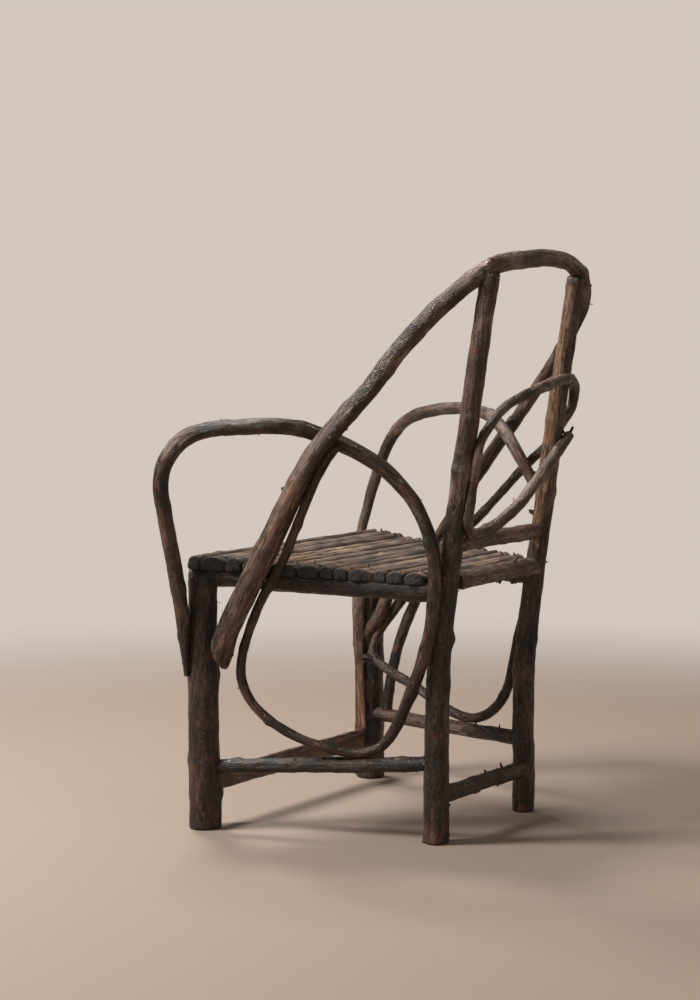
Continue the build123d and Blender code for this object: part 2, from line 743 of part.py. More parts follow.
bow_nails = [
    nailed(hoop, inset(hoop), legs[LEFT], "back_hoop", "left_front_leg"),
    nailed(hoop, hoop.marks[hoop_side_stop], posts[RIGHT], "back_hoop", "right_back_post"),
    nailed(left_bow, inset(left_bow), legs[LEFT], "left_arm_bow", "left_front_leg"),
    (left_bow, left_bow.marks[7], hoop_at_arm, ("left_arm_bow", "back_hoop")),
    nailed(left_bow, left_bow.marks[12], posts[LEFT], "left_arm_bow", "left_back_post"),
    nailed_down(left_bow, 14, "left_arm_bow", "left_stretcher"),
    nailed(right_bow, inset(right_bow), legs[RIGHT], "right_arm_bow", "right_front_leg"),
    nailed(right_bow, inset(right_bow, 1), posts[RIGHT], "right_arm_bow", "right_back_post"),
    nailed(lower_bow, lower_bow.marks[5], legs[RIGHT], "lower_right_bow", "right_front_leg"),
    nailed_down(lower_bow, 8, "lower_right_bow", "right_stretcher"),
    nailed(lower_bow, inset(lower_bow, 1), posts[RIGHT], "lower_right_bow", "right_back_post"),
    nailed(brace, inset(brace), posts[RIGHT], "right_brace", "right_back_post"),
    nailed(loop_top, loop_top.marks[1], posts[LEFT], "back_loop", "left_back_post"),
    nailed(loop_top, loop_top.marks[5], posts[RIGHT], "back_loop", "right_back_post"),
    nailed(loop_foot, loop_foot.marks[4], posts[RIGHT], "back_loop", "right_back_post"),
]
for rod, share, core, names in bow_nails:
    head_at, towards = rod_nail(rod, share, core)
    drive("bow_nails", names, head_at, towards, bow_nail_length, bow_nail_d)

for name, cuts in holes.items():
    if cuts:
        parts[name] = parts[name] - cuts

for group, members in nails.items():
    parts[group] = Compound(children=[Part(it.wrapped) for it in members])

# ---- The origin goes to the middle of the chair's box, on the floor

box = Compound(children=[Part(piece.wrapped) for piece in parts.values()]).bounding_box()
to_origin = Pos(-(box.min.X + box.max.X) / 2, -(box.min.Y + box.max.Y) / 2, 0)

os.makedirs("parts", exist_ok=True)
for name, piece in parts.items():
    export_step(to_origin * piece, f"parts/{name}.step")
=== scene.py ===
import math
from dataclasses import dataclass

import bpy
import numpy as np
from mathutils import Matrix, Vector
from mathutils.bvhtree import BVHTree


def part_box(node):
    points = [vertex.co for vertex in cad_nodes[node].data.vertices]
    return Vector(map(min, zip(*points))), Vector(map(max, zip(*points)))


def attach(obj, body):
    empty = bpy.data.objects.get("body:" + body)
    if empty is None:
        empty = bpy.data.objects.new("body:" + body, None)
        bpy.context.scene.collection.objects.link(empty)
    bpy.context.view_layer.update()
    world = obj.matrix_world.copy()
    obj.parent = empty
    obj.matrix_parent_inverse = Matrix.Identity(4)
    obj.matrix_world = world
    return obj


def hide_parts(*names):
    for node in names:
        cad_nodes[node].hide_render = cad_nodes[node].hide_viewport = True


# A chair of bark-covered logs and bent saplings. Round sticks are traced through their CAD solids, and split
# logs and slats take their sections from theirs. All are skinned again with bark, knots, cracks, worn places
# and cut ends. Lengths are metres in the CAD's own frame, but the widths given to noise are millimetres.

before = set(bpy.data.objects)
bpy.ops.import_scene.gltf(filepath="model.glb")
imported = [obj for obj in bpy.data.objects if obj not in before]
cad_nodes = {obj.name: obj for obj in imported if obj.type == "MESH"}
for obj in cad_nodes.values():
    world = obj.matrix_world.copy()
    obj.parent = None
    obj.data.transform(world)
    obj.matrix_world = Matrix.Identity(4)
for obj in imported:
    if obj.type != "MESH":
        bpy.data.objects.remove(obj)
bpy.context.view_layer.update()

MM = 0.001
STEP = 2.2 * MM  # between two rings of a stick's skin
GIRTH = 2.2 * MM  # between two points round a stick

# ---- Camera: behind the chair's left side, a little above its middle

CAMERA_AZIMUTH = 122.4
CAMERA_PITCH = 4.56
CAMERA_DISTANCE = 3.938
CAMERA_TARGET = (-0.0006, -0.0899, 0.514)
CAMERA_LENS = 86.1
CAMERA_SENSOR = 36
PICTURE_WIDTH = 700
PICTURE_HEIGHT = 1000


def add(name, data):
    made = bpy.data.objects.new(name, data)
    bpy.context.collection.objects.link(made)
    return made


def add_aimed(name, data, centre, azimuth, elevation, distance):
    """A camera or lamp that looks at a centre from a direction and a distance."""
    turn, tilt = math.radians(azimuth), math.radians(elevation)
    back = Vector((math.sin(turn) * math.cos(tilt), -math.cos(turn) * math.cos(tilt), math.sin(tilt)))
    made = add(name, data)
    made.location = Vector(centre) + back * distance
    made.rotation_mode = "QUATERNION"
    made.rotation_quaternion = (-back).to_track_quat("-Z", "Y")
    return made


def make_camera():
    data = bpy.data.cameras.new("camera")
    data.lens = CAMERA_LENS
    data.sensor_width = CAMERA_SENSOR
    bpy.context.scene.camera = add_aimed("camera", data, CAMERA_TARGET, CAMERA_AZIMUTH, CAMERA_PITCH,
                                         CAMERA_DISTANCE)


make_camera()


def camera_turn():
    return np.array(bpy.context.scene.camera.rotation_quaternion.to_matrix())


def picture_point(points):
    """Where points fall in the picture, in its 700 by 1000 frame."""
    seen = (np.asarray(points) - np.array(bpy.context.scene.camera.location)) @ camera_turn()
    scale = CAMERA_LENS / CAMERA_SENSOR * PICTURE_HEIGHT / -seen[:, 2]
    return np.stack([PICTURE_WIDTH / 2 + seen[:, 0] * scale, PICTURE_HEIGHT / 2 - seen[:, 1] * scale], axis=1)


def picture_way(right, down):
    """The direction in space of a direction in the picture."""
    return camera_turn() @ np.array([right, -down, 0.0])


# ---- Noise, the same on every run

GRADIENT_COUNT = 4096  # a power of two
HASH = (73856093, 19349663, 83492791, 2654435)  # for X, Y, Z and the seed
SEED_SHIFT = 13.7
NOISE_GAIN = 1.7
GRADIENTS = np.random.default_rng(11).normal(size=(GRADIENT_COUNT, 3))
GRADIENTS /= np.linalg.norm(GRADIENTS, axis=1)[:, None]


def noise(points, widths, seed):
    """Smooth noise between about -1 and 1. Its lumps' widths are in millimetres, one or one for each axis."""
    scaled = points.reshape(-1, 3) / (np.asarray(widths, float) * MM) + seed * SEED_SHIFT
    cell = np.floor(scaled).astype(np.int64)
    inside = scaled - cell
    fade = inside ** 3 * (inside * (inside * 6 - 15) + 10)
    total = np.zeros(len(scaled))
    for corner in np.ndindex(2, 2, 2):
        at = cell + corner
        key = (at[:, 0] * HASH[0]) ^ (at[:, 1] * HASH[1]) ^ (at[:, 2] * HASH[2]) ^ (seed * HASH[3])
        slope = np.einsum("ij,ij->i", GRADIENTS[key & (GRADIENT_COUNT - 1)], inside - corner)
        share = np.prod(np.where(np.array(corner) == 1, fade, 1 - fade), axis=1)
        total += slope * share
    return total.reshape(points.shape[:-1]) * NOISE_GAIN


def ramp(value, low, high):
    """0 below low, 1 above high and smooth between. Low may be the larger."""
    share = np.clip((value - low) / (high - low), 0, 1)
    return share * share * (3 - 2 * share)


def smoothed(values, width):
    """Values along a stick, each the mean of its neighbours. The ends stay where they are."""
    if width < 1:
        return values
    kernel = np.exp(-0.5 * (np.arange(-3 * width, 3 * width + 1) / width) ** 2)
    kernel /= kernel.sum()
    pad = min(3 * width, len(values) - 1)
    lead = 2 * values[0] - values[pad:0:-1]
    tail = 2 * values[-1] - values[-2:-pad - 2:-1]
    padded = np.concatenate([lead, values, tail])
    if values.ndim == 1:
        wide = np.convolve(padded, kernel, "same")
    else:
        wide = np.stack([np.convolve(column, kernel, "same") for column in padded.T], axis=1)
    return wide[pad:pad + len(values)]


def run_along(line):
    """How far along a line each of its points lies."""
    return np.concatenate([[0], np.cumsum(np.linalg.norm(np.diff(line, axis=0), axis=1))])


# ---- Tracing a stick through its CAD solid

TRACE_STRIDES = (5 * MM, 8.5 * MM, 3 * MM)  # the longer ones step over a nail's hole
TRACE_RAYS = 16
TRACE_ROUNDS = 3
RAYS_THAT_HIT = 0.6  # the least share of the rays that finds a wall
WALL_LEAST, WALL_MOST = 0.8, 1.25  # in radii: a wall that is nearer or farther counts as this far
SAME_LEAST, SAME_MOST = 0.62, 1.35  # the next section's radius to this one's, in the same stick
BEND_WAYS, BEND_LEANS = 8, (0.35, 0.7)  # looks round a tight bend: how many ways, and how far they lean
LEAST_ADVANCE = 0.3  # in strides
NEW_HEADING, NEW_RADIUS = 0.65, 0.3  # the share that each new section has in the running values
LEAST_STEP = 0.3 * MM
SHORTEST_TRACE = 100 * MM
BENT_REACH, LOG_REACH, RAIL_REACH = 0.04, 0.035, 0.028  # how far the rays go
UNDER_SURFACE = 0.3  # in millimetres
ACROSS_REACH = 0.1
TRIED_NEAR = 0.03  # a facet this near to a failed trace isn't tried
MIDDLE_SHARE, MIDDLE_POINTS = 0.25, 30


def square_to(heading):
    side = heading.cross(Vector((0, 0, 1)) if abs(heading.z) < 0.8 else Vector((1, 0, 0))).normalized()
    return side, heading.cross(side).normalized()


def ways_round(heading, count):
    """Directions square to a heading, evenly round it."""
    side, up = square_to(heading)
    turns = [2 * math.pi * k / count for k in range(count)]
    return [side * math.cos(turn) + up * math.sin(turn) for turn in turns]


def same_stick(middle, found, radius):
    return middle is not None and SAME_LEAST * radius < found < SAME_MOST * radius


class Walls:
    """A CAD solid's walls, looked for from inside a stick or, for a log with mortises, from outside it."""

    def __init__(self, node, reach, from_outside=False):
        mesh = cad_nodes[node].data
        self.tree = BVHTree.FromPolygons([v.co for v in mesh.vertices], [p.vertices for p in mesh.polygons])
        self.reach = reach
        self.from_outside = from_outside

    def distance(self, centre, way):
        """How far a wall is from a point, or None where there's none within reach."""
        if not self.from_outside:
            return self.tree.ray_cast(centre, way, self.reach)[3]
        hit = self.tree.ray_cast(centre + way * self.reach, -way, self.reach)[3]
        return None if hit is None else self.reach - hit

    def section(self, centre, heading):
        """The middle of the solid's section at a point, and its radius. None where there's no section."""
        ways = ways_round(heading, TRACE_RAYS)
        radius = None
        for _ in range(TRACE_ROUNDS):
            found = [(way, distance) for way in ways if (distance := self.distance(centre, way)) is not None]
            if len(found) < TRACE_RAYS * RAYS_THAT_HIT:
                return None, None
            radius = float(np.median([distance for _, distance in found]))
            shift = Vector((0, 0, 0))
            for way, distance in found:
                shift += way * min(max(distance, WALL_LEAST * radius), WALL_MOST * radius)
            centre = centre + shift * (2 / len(found))
        return centre, radius

    def next_section(self, centre, heading, radius):
        """The stick's next section ahead. Where a straight look finds none, it looks round a tight bend."""
        for stride in TRACE_STRIDES:
            middle, found = self.section(centre + heading * stride, heading)
            if same_stick(middle, found, radius):
                return middle, found
        best = (None, None)
        if self.from_outside:
            return best
        stride = TRACE_STRIDES[0]
        for out in ways_round(heading, BEND_WAYS):
            for lean in BEND_LEANS:
                way = (heading + out * lean).normalized()
                middle, found = self.section(centre + way * stride, way)
                if not same_stick(middle, found, radius):
                    continue
                advance = (middle - centre).dot(heading)
                if advance > LEAST_ADVANCE * stride and (best[1] is None or found < best[1]):
                    best = (middle, found)
        return best

    def march(self, centre, heading, radius):
        """Centres and radii from a point inside a stick to the end that its heading looks at."""
        line = []
        while True:
            middle, found = self.next_section(centre, heading, radius)
            if middle is None:
                break
            onward = (middle - centre).normalized()
            heading = (heading * (1 - NEW_HEADING) + onward * NEW_HEADING).normalized()
            centre, radius = middle, (1 - NEW_RADIUS) * radius + NEW_RADIUS * found
            line.append((centre, radius))
        step = TRACE_STRIDES[0] / 2
        while step > LEAST_STEP:
            middle, found = self.section(centre + heading * step, heading)
            if same_stick(middle, found, radius):
                centre = centre + heading * step
                line.append((centre, radius))
            step /= 2
        return line

    def trace(self, point, heading):
        """The centre line of the stick that a point lies in, and its radius all along."""
        heading = Vector(heading).normalized()
        centre, radius = self.section(Vector(point), heading)
        if centre is None:
            return np.array([tuple(point)]), np.zeros(1)
        forward = self.march(centre, heading, radius)
        backward = self.march(centre, -heading, radius)
        line = backward[::-1] + [(centre, radius)] + forward
        return np.array([tuple(c) for c, _ in line]), np.array([r for _, r in line])


def longest_facet(node, away_from):
    """Middle, inward normal and heading of the longest flat of a stick, to start tracing at."""
    mesh = cad_nodes[node].data
    best, found = 0, None
    for face in mesh.polygons:
        middle = face.center
        if any(np.linalg.norm(line - np.array(middle), axis=1).min() < TRIED_NEAR for line in away_from):
            continue
        corners = [mesh.vertices[i].co for i in face.vertices]
        edges = [b - a for a, b in zip(corners, corners[1:] + corners[:1])]
        longest = max(edges, key=lambda e: e.length)
        if longest.length > best:
            best, found = longest.length, (middle.copy(), -face.normal, longest.normalized())
    return found


def trace_node(node):
    """Centre line and radii of a bent stick, from the longest flat on it that isn't in a nail's hole."""
    walls = Walls(node, BENT_REACH)
    failed = []
    while True:
        surface, inward, heading = longest_facet(node, failed)
        across = walls.tree.ray_cast(surface + inward * UNDER_SURFACE * MM, inward, ACROSS_REACH)[3] or 0
        centres, radii = walls.trace(surface + inward * across / 2, heading)
        if np.linalg.norm(np.diff(centres, axis=0), axis=1).sum() > SHORTEST_TRACE:
            return centres, radii
        failed.append(np.vstack([centres, np.array(surface)]))


def trace_straight(node, reach):
    """Centre line and radii of a log with mortises in it, from outside."""
    low, high = (np.array(corner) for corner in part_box(node))
    points = np.array([tuple(v.co) for v in cad_nodes[node].data.vertices])
    middle = (low + high) / 2
    spread = np.linalg.svd(points - points.mean(axis=0))[2][0]
    near = points[np.abs((points - middle) @ spread) < MIDDLE_SHARE * np.ptp(points @ spread)]
    start = near.mean(axis=0) if len(near) > MIDDLE_POINTS else middle
    return Walls(node, reach, True).trace(start, spread)


LEAST_RINGS = 8


class Stick:
    """A stick's centre line with even steps, its radius, and a frame that doesn't twist."""

    def __init__(self, centres, radii, step=STEP, smooth=18 * MM, lengthen=(0, 0)):
        centres, radii = self.longer(centres, radii, lengthen)
        along = run_along(centres)
        count = max(LEAST_RINGS, int(along[-1] / step))
        even = np.linspace(0, along[-1], count)
        width = max(1, int(smooth / (along[-1] / count)))
        width = min(width, (count - 2) // 4)
        columns = [np.interp(even, along, column) for column in centres.T]
        self.centres = smoothed(np.stack(columns, axis=1), width)
        self.radii = smoothed(np.interp(even, along, radii), width)
        self.along = even
        self.length = along[-1]
        self.headings = np.gradient(self.centres, axis=0)
        self.headings /= np.linalg.norm(self.headings, axis=1)[:, None]
        self.sides = np.empty_like(self.centres)
        side = np.array(square_to(Vector(self.headings[0]))[0])
        for i, heading in enumerate(self.headings):
            side = side - heading * (side @ heading)
            side /= np.linalg.norm(side)
            self.sides[i] = side
        self.ups = np.cross(self.headings, self.sides)

    @staticmethod
    def longer(centres, radii, lengthen):
        """The line run on past its ends, so that it reaches into what it butts on."""
        start, end = lengthen
        if start:
            way = centres[0] - centres[3]
            centres = np.vstack([centres[0] + way / np.linalg.norm(way) * start, centres])
            radii = np.concatenate([[radii[0]], radii])
        if end:
            way = centres[-1] - centres[-4]
            centres = np.vstack([centres, centres[-1] + way / np.linalg.norm(way) * end])
            radii = np.concatenate([radii, [radii[-1]]])
        return centres, radii


# ---- Skins

@dataclass
class Look:
    """How a stick's surface departs from a plain round one. Lengths in metres."""

    seed: int
    tone: float = 0.5  # 0 is dark and 1 light
    rough: float = 1.0  # strength of ridges and cracks
    knots: float = 60 * MM  # usual distance between two knots
    swell: float = 0.06  # how much thicker a stick is at a knot
    lobes: float = 0.05  # how far its section is from round
    wobble: float = 0.9 * MM  # how far it strays from its line
    worn: tuple = ()  # places where the bark is gone: share from, share to, the side it faces, how much


@dataclass
class End:
    """How a stick ends: sawn flat, rounded off, or cut to a slanting point on the side that faces a way."""

    round_off: float = 3 * MM
    slant: float = 0.0  # length of the slanting cut to the stick's thickness
    facing: tuple = (0, 0, 1)
    splinters: float = 0.0  # how far the cut is from clean
    thin: float = 1.0  # radius at the end to the stick's own
    thin_over: float = 0.0  # length over which it thins
    stain: float = 0.0  # length over which the side is as dark as the cut


HIDDEN = End(round_off=1 * MM)


# Bark: how wide its lumps are across, round and along a stick, and how high they stand, in millimetres
BARK_LUMPS = (((22, 22, 34), 0.75), ((6, 6, 32), 0.42), ((3.2, 3.2, 9), 0.22))
CRACK_WIDTHS, CRACK_DEPTH, CRACK_PATCHES = (9, 9, 60), 0.9, 70
RING_WIDTHS, RING_DEPTH, RING_PATCHES = (26, 26, 7), 0.35, 45
RING_DARKNESS = 0.6

# Knots: ranges, in the order drawn. Places are in usual distances, sizes in radii and the rest in sizes
KNOT_FIRST, KNOT_SIZES, KNOT_SWELLINGS = (0.2, 0.9), (0.3, 0.55), (0.4, 1.2)
KNOT_BUMPS, KNOT_HOLLOWS, KNOT_STEPS = (0.15, 0.5), (0.0, 0.35), (0.45, 1.6)
SWELLING_LENGTH, KNOT_MARGIN = 9 * MM, 8 * MM
KNOT_STRETCH, HOLLOW_SIZE, KNOT_DARK_SIZE = 1.25, 0.45, 0.8


def bark_relief(at, look):
    """Height of the bark over a stick's mean surface, and how far each point lies in a crack."""
    height = sum(high * noise(at, widths, look.seed + k) for k, (widths, high) in enumerate(BARK_LUMPS))
    seams = 1 - np.abs(noise(at, CRACK_WIDTHS, look.seed + 3))
    rings = 1 - np.abs(noise(at, RING_WIDTHS, look.seed + 4))
    crack = ramp(seams, 0.90, 0.995) * ramp(noise(at, CRACK_PATCHES, look.seed + 5), -0.25, 0.25)
    ring = ramp(rings, 0.90, 1.0) * ramp(noise(at, RING_PATCHES, look.seed + 6), 0.0, 0.4)
    height = height - CRACK_DEPTH * crack - RING_DEPTH * ring
    return height * look.rough * MM, np.clip(crack + RING_DARKNESS * ring, 0, 1)


def knot_relief(stick, look, angles, radius):
    """Swellings at a stick's knots, with a bud or a healed stump on one side of each."""
    draw = np.random.default_rng(look.seed).uniform
    height = np.zeros_like(angles)
    knot = np.zeros_like(angles)
    place = look.knots * draw(*KNOT_FIRST)
    while place < stick.length - KNOT_MARGIN:
        along = (stick.along[:, None] - place)
        turn = draw(0, 2 * math.pi)
        across = (np.mod(angles - turn + math.pi, 2 * math.pi) - math.pi) * radius
        size = np.mean(radius) * draw(*KNOT_SIZES)
        swelling = np.exp(-(along / SWELLING_LENGTH) ** 2)
        swelling = swelling * np.mean(radius) * look.swell * draw(*KNOT_SWELLINGS)
        far = np.sqrt((along / KNOT_STRETCH) ** 2 + across ** 2) / size
        bump = np.exp(-far ** 2) * size * draw(*KNOT_BUMPS)
        hollow = np.exp(-(far / HOLLOW_SIZE) ** 2) * size * draw(*KNOT_HOLLOWS)
        height += swelling + bump - hollow
        knot = np.maximum(knot, np.exp(-(far / KNOT_DARK_SIZE) ** 2))
        place += look.knots * draw(*KNOT_STEPS)
    return height, knot


def wear_mask(stick, look, outward, at):
    """Where the bark is gone: 1 is bare wood."""
    share = (stick.along / stick.length)[:, None]
    ragged = noise(at, (16, 16, 55), look.seed + 7)
    speckle = noise(at, (5, 5, 14), look.seed + 8)
    mask = 0.5 * ragged + 0.18 * speckle - 0.45
    for first, last, facing, amount in look.worn:
        facing = np.array(facing, float) / np.linalg.norm(facing)
        inside = ramp(share, first - 0.03, first + 0.02) * ramp(share, last + 0.03, last - 0.02)
        turned = ramp(outward @ facing, -0.1, 0.75)
        mask = mask + 1.15 * amount * inside * turned
    return ramp(mask, 0.15, 0.5)


LEAST_ROUND_OFF, MOST_INSET = 0.2 * MM, 0.8
CUT_REACH = 1.6  # in slants: how far from the end a slanting cut still moves the side


def end_profile(stick, end, from_end, outward, heading):
    """For one end: share of the radius that is left, and how far each point moves along the stick."""
    shrink = np.ones_like(from_end)
    if end.thin_over:
        shrink = end.thin + (1 - end.thin) * ramp(from_end, 0, end.thin_over)
    edge = np.clip(1 - from_end / max(end.round_off, LEAST_ROUND_OFF), 0, 1)
    inset = min(end.round_off / float(np.mean(stick.radii)), MOST_INSET)
    shrink = shrink * (1 - inset * (1 - np.sqrt(1 - edge ** 2)))
    if not end.slant:
        return shrink, np.zeros(outward.shape[:2])
    facing = np.array(end.facing, float)
    facing = facing - heading * (facing @ heading)
    facing /= np.linalg.norm(facing)
    reach = end.slant * 2 * float(np.mean(stick.radii[:5]))
    near = np.clip(1 - from_end / (CUT_REACH * reach), 0, 1)
    return shrink, near * reach * 0.5 * (1 + outward @ facing)


CAP_RINGS = (0.86, 0.62, 0.36, 0.12)  # in radii
CAP_ROUGHNESS = 0.45 * MM
LEAST_AROUND = 14
SPLINTER_LENGTH, SPLINTER_SETBACK, SPLINTER_REACH = 8 * MM, 2 * MM, 26 * MM
CALM_END = 30 * MM  # a stick's line doesn't stray this near to its ends
WORN_SMOOTHNESS, WORN_GRAIN, WORN_DEPTH = 0.75, 0.15 * MM, 0.7 * MM
TONE_SPREAD = 0.16


class Skin:
    """Points and surface facts of a stick's outside, ready to become a mesh."""

    def __init__(self, stick, look, ends=(End(), End()), profile=None):
        around = max(LEAST_AROUND, int(2 * math.pi * float(np.max(stick.radii)) / GIRTH))
        angles = np.linspace(0, 2 * math.pi, around, endpoint=False)[None, :]
        outward = (np.cos(angles)[..., None] * stick.sides[:, None, :]
                   + np.sin(angles)[..., None] * stick.ups[:, None, :])
        radius = np.repeat(stick.radii[:, None], around, axis=1) if profile is None else profile(angles)
        angles = np.repeat(angles, len(stick.along), axis=0)
        along = np.repeat(stick.along[:, None], around, axis=1)
        at = np.stack([radius * np.cos(angles), radius * np.sin(angles), along], axis=-1)
        relief, crack = bark_relief(at, look)
        knots, knot = knot_relief(stick, look, angles, radius)
        worn = wear_mask(stick, look, outward, at)
        grain = noise(at, (3, 3, 40), look.seed + 9)
        lobes = 0
        slow = np.stack([stick.along, stick.along * 0, stick.along * 0], axis=1)
        for turns in (2, 3):
            phase = noise(slow, 260, look.seed + 10 + turns) * 3 + turns
            lobes = lobes + np.cos(turns * angles + phase[:, None]) * look.lobes / turns
        relief = relief * (1 - WORN_SMOOTHNESS * worn) + WORN_GRAIN * grain * worn - WORN_DEPTH * worn
        reach = radius * (1 + lobes) + relief + knots
        slide = np.zeros_like(reach)
        cut = np.zeros_like(reach)
        for which, end in enumerate(ends):
            from_end = along if which == 0 else stick.length - along
            heading = -stick.headings[0] if which == 0 else stick.headings[-1]
            shrink, push = end_profile(stick, end, from_end, outward, heading)
            reach = reach * shrink
            ragged = noise(at, (4, 4, 300), look.seed + 20 + which)
            near = ramp(from_end, SPLINTER_REACH, 0)
            push = push + near * end.splinters * (SPLINTER_LENGTH * np.abs(ragged) - SPLINTER_SETBACK)
            slide += push if which == 0 else -push
            cut = np.maximum(cut, ramp(from_end * (1 + ragged), max(end.round_off, end.stain), 0))
        stray = np.stack([noise(slow, 90, look.seed + 30 + k) for k in range(3)], axis=1) * look.wobble
        calm = ramp(stick.along, 0, CALM_END) * ramp(stick.length - stick.along, 0, CALM_END)
        centres = stick.centres + stray * calm[:, None]
        self.grid = (centres[:, None, :] + outward * reach[..., None]
                     + stick.headings[:, None, :] * slide[..., None])
        tone = look.tone + TONE_SPREAD * noise(at, 55, look.seed + 40)
        self.facts = {"worn": worn, "crack": crack * (1 - worn), "knot": knot, "tone": tone, "cut": cut}
        self.at = at
        for which in (0, 1):
            self.close_end(which, -which, look.seed + 50 + which, stick.headings[-which])

    def close_end(self, which, row, seed, heading):
        """Rings that run in to the middle of a sawn end, which is the first row or the last."""
        rim, at_rim = self.grid[row], self.at[row]
        middle = rim.mean(axis=0)
        rings, at_rings = [], []
        for share in CAP_RINGS:
            at_ring = at_rim * np.array([share, share, 1])
            bump = noise(at_ring, (4, 4, 4), seed) * CAP_ROUGHNESS
            rings.append(middle + (rim - middle) * share + heading * bump[:, None])
            at_rings.append(at_ring)

        def joined_on(values, more):
            return np.concatenate([values, more] if which else [more[::-1], values])

        self.grid = joined_on(self.grid, np.array(rings))
        self.at = joined_on(self.at, np.array(at_rings))
        for name, values in self.facts.items():
            more = np.repeat(values[row][None], len(CAP_RINGS), axis=0)
            if name != "tone":
                more = np.full_like(more, 1.0 if name == "cut" else 0.0)
            self.facts[name] = joined_on(values, more)

    def parts(self):
        """Points, faces and facts as flat arrays."""
        rows, around = self.grid.shape[:2]
        index = np.arange(rows * around).reshape(rows, around)
        right = np.roll(index, -1, axis=1)
        quads = np.stack([index[:-1], right[:-1], right[1:], index[1:]], axis=-1).reshape(-1, 4)
        lids = [index[0][::-1].tolist(), index[-1].tolist()]
        facts = {name: values.reshape(-1) for name, values in self.facts.items()}
        return self.grid.reshape(-1, 3), quads, lids, self.at.reshape(-1, 3), facts


def shares_along(centres):
    run = run_along(centres)
    return run / run[-1]


TWIG_POINTS, TWIG_ROOT, TWIG_BEND = 9, 0.2, 0.12  # its bend is in lengths
TWIG_TAPER = (1.25, 0.7)
TWIG_STEP = 1.2 * MM


def twig(stick, x, y, right, down, length, thick, seed):
    """A broken twig or splinter on a stick: where in the picture it grows, and which way it points there."""
    ring = int(np.argmin(np.linalg.norm(picture_point(stick.centres) - np.array((x, y), float), axis=1)))
    root = stick.centres[ring]
    out = picture_way(right, down)
    out = out / np.linalg.norm(out)
    reach = stick.radii[ring] + length
    shares = np.linspace(TWIG_ROOT, 1, TWIG_POINTS)
    bend = np.array([0, 0, 1.0]) * TWIG_BEND * length
    centres = np.array([root + out * reach * share + bend * share ** 2 for share in shares])
    radii = thick / 2 * np.linspace(*TWIG_TAPER, TWIG_POINTS)
    look = Look(seed, tone=0.5, lobes=0.12, wobble=0.3 * MM, rough=0.5)
    return Skin(Stick(centres, radii, step=TWIG_STEP, smooth=0), look, (HIDDEN, End(0.6 * MM, splinters=0.6)))


def twigs(stick, node, seed):
    """The broken twigs of a node's stick."""
    return [twig(stick, *place, length * MM, thick * MM, seed + k)
            for k, (*place, length, thick) in enumerate(TWIGS.get(node, ()))]


def thicker(centres, radii, first, last, times):
    """Radii with a stretch made thicker: share from, share to, and how many times as thick."""
    share = shares_along(centres)
    inside = ramp(share, first - 0.05, first + 0.02) * ramp(share, last + 0.05, last - 0.02)
    return radii * (1 + (times - 1) * inside)


def nudged(centres, first, last, right, near):
    """A line with a stretch moved: share from, share to, and millimetres right and nearer in the picture."""
    share = shares_along(centres)
    inside = ramp(share, first - 0.06, first + 0.01) * ramp(share, last + 0.06, last - 0.01)
    return centres + inside[:, None] * ((picture_way(right, 0) + camera_turn()[:, 2] * near) * MM)


def make_piece(name, skins, node, slot="bark"):
    """One object from one skin or several, in the place of its CAD node."""
    points, faces, at, facts = [], [], [], {}
    first = 0
    for skin in skins:
        grid, quads, lids, where, more = skin.parts()
        points.append(grid)
        faces += (quads + first).tolist() + [[i + first for i in lid] for lid in lids]
        at.append(where)
        for key, values in more.items():
            facts.setdefault(key, []).append(values)
        first += len(grid)
    mesh = bpy.data.meshes.new(name)
    mesh.from_pydata(np.concatenate(points).tolist(), [], faces)
    mesh.polygons.foreach_set("use_smooth", [True] * len(mesh.polygons))
    layer = mesh.attributes.new("stick", "FLOAT_VECTOR", "POINT")
    layer.data.foreach_set("vector", np.concatenate(at).astype(np.float32).ravel())
    for key, values in facts.items():
        layer = mesh.attributes.new(key, "FLOAT", "POINT")
        layer.data.foreach_set("value", np.concatenate(values).astype(np.float32))
    mesh.update()
    mesh.materials.append(WOODS[slot])
    piece = add(name, mesh)
    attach(piece, "root")
    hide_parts(node)


# ---- Materials

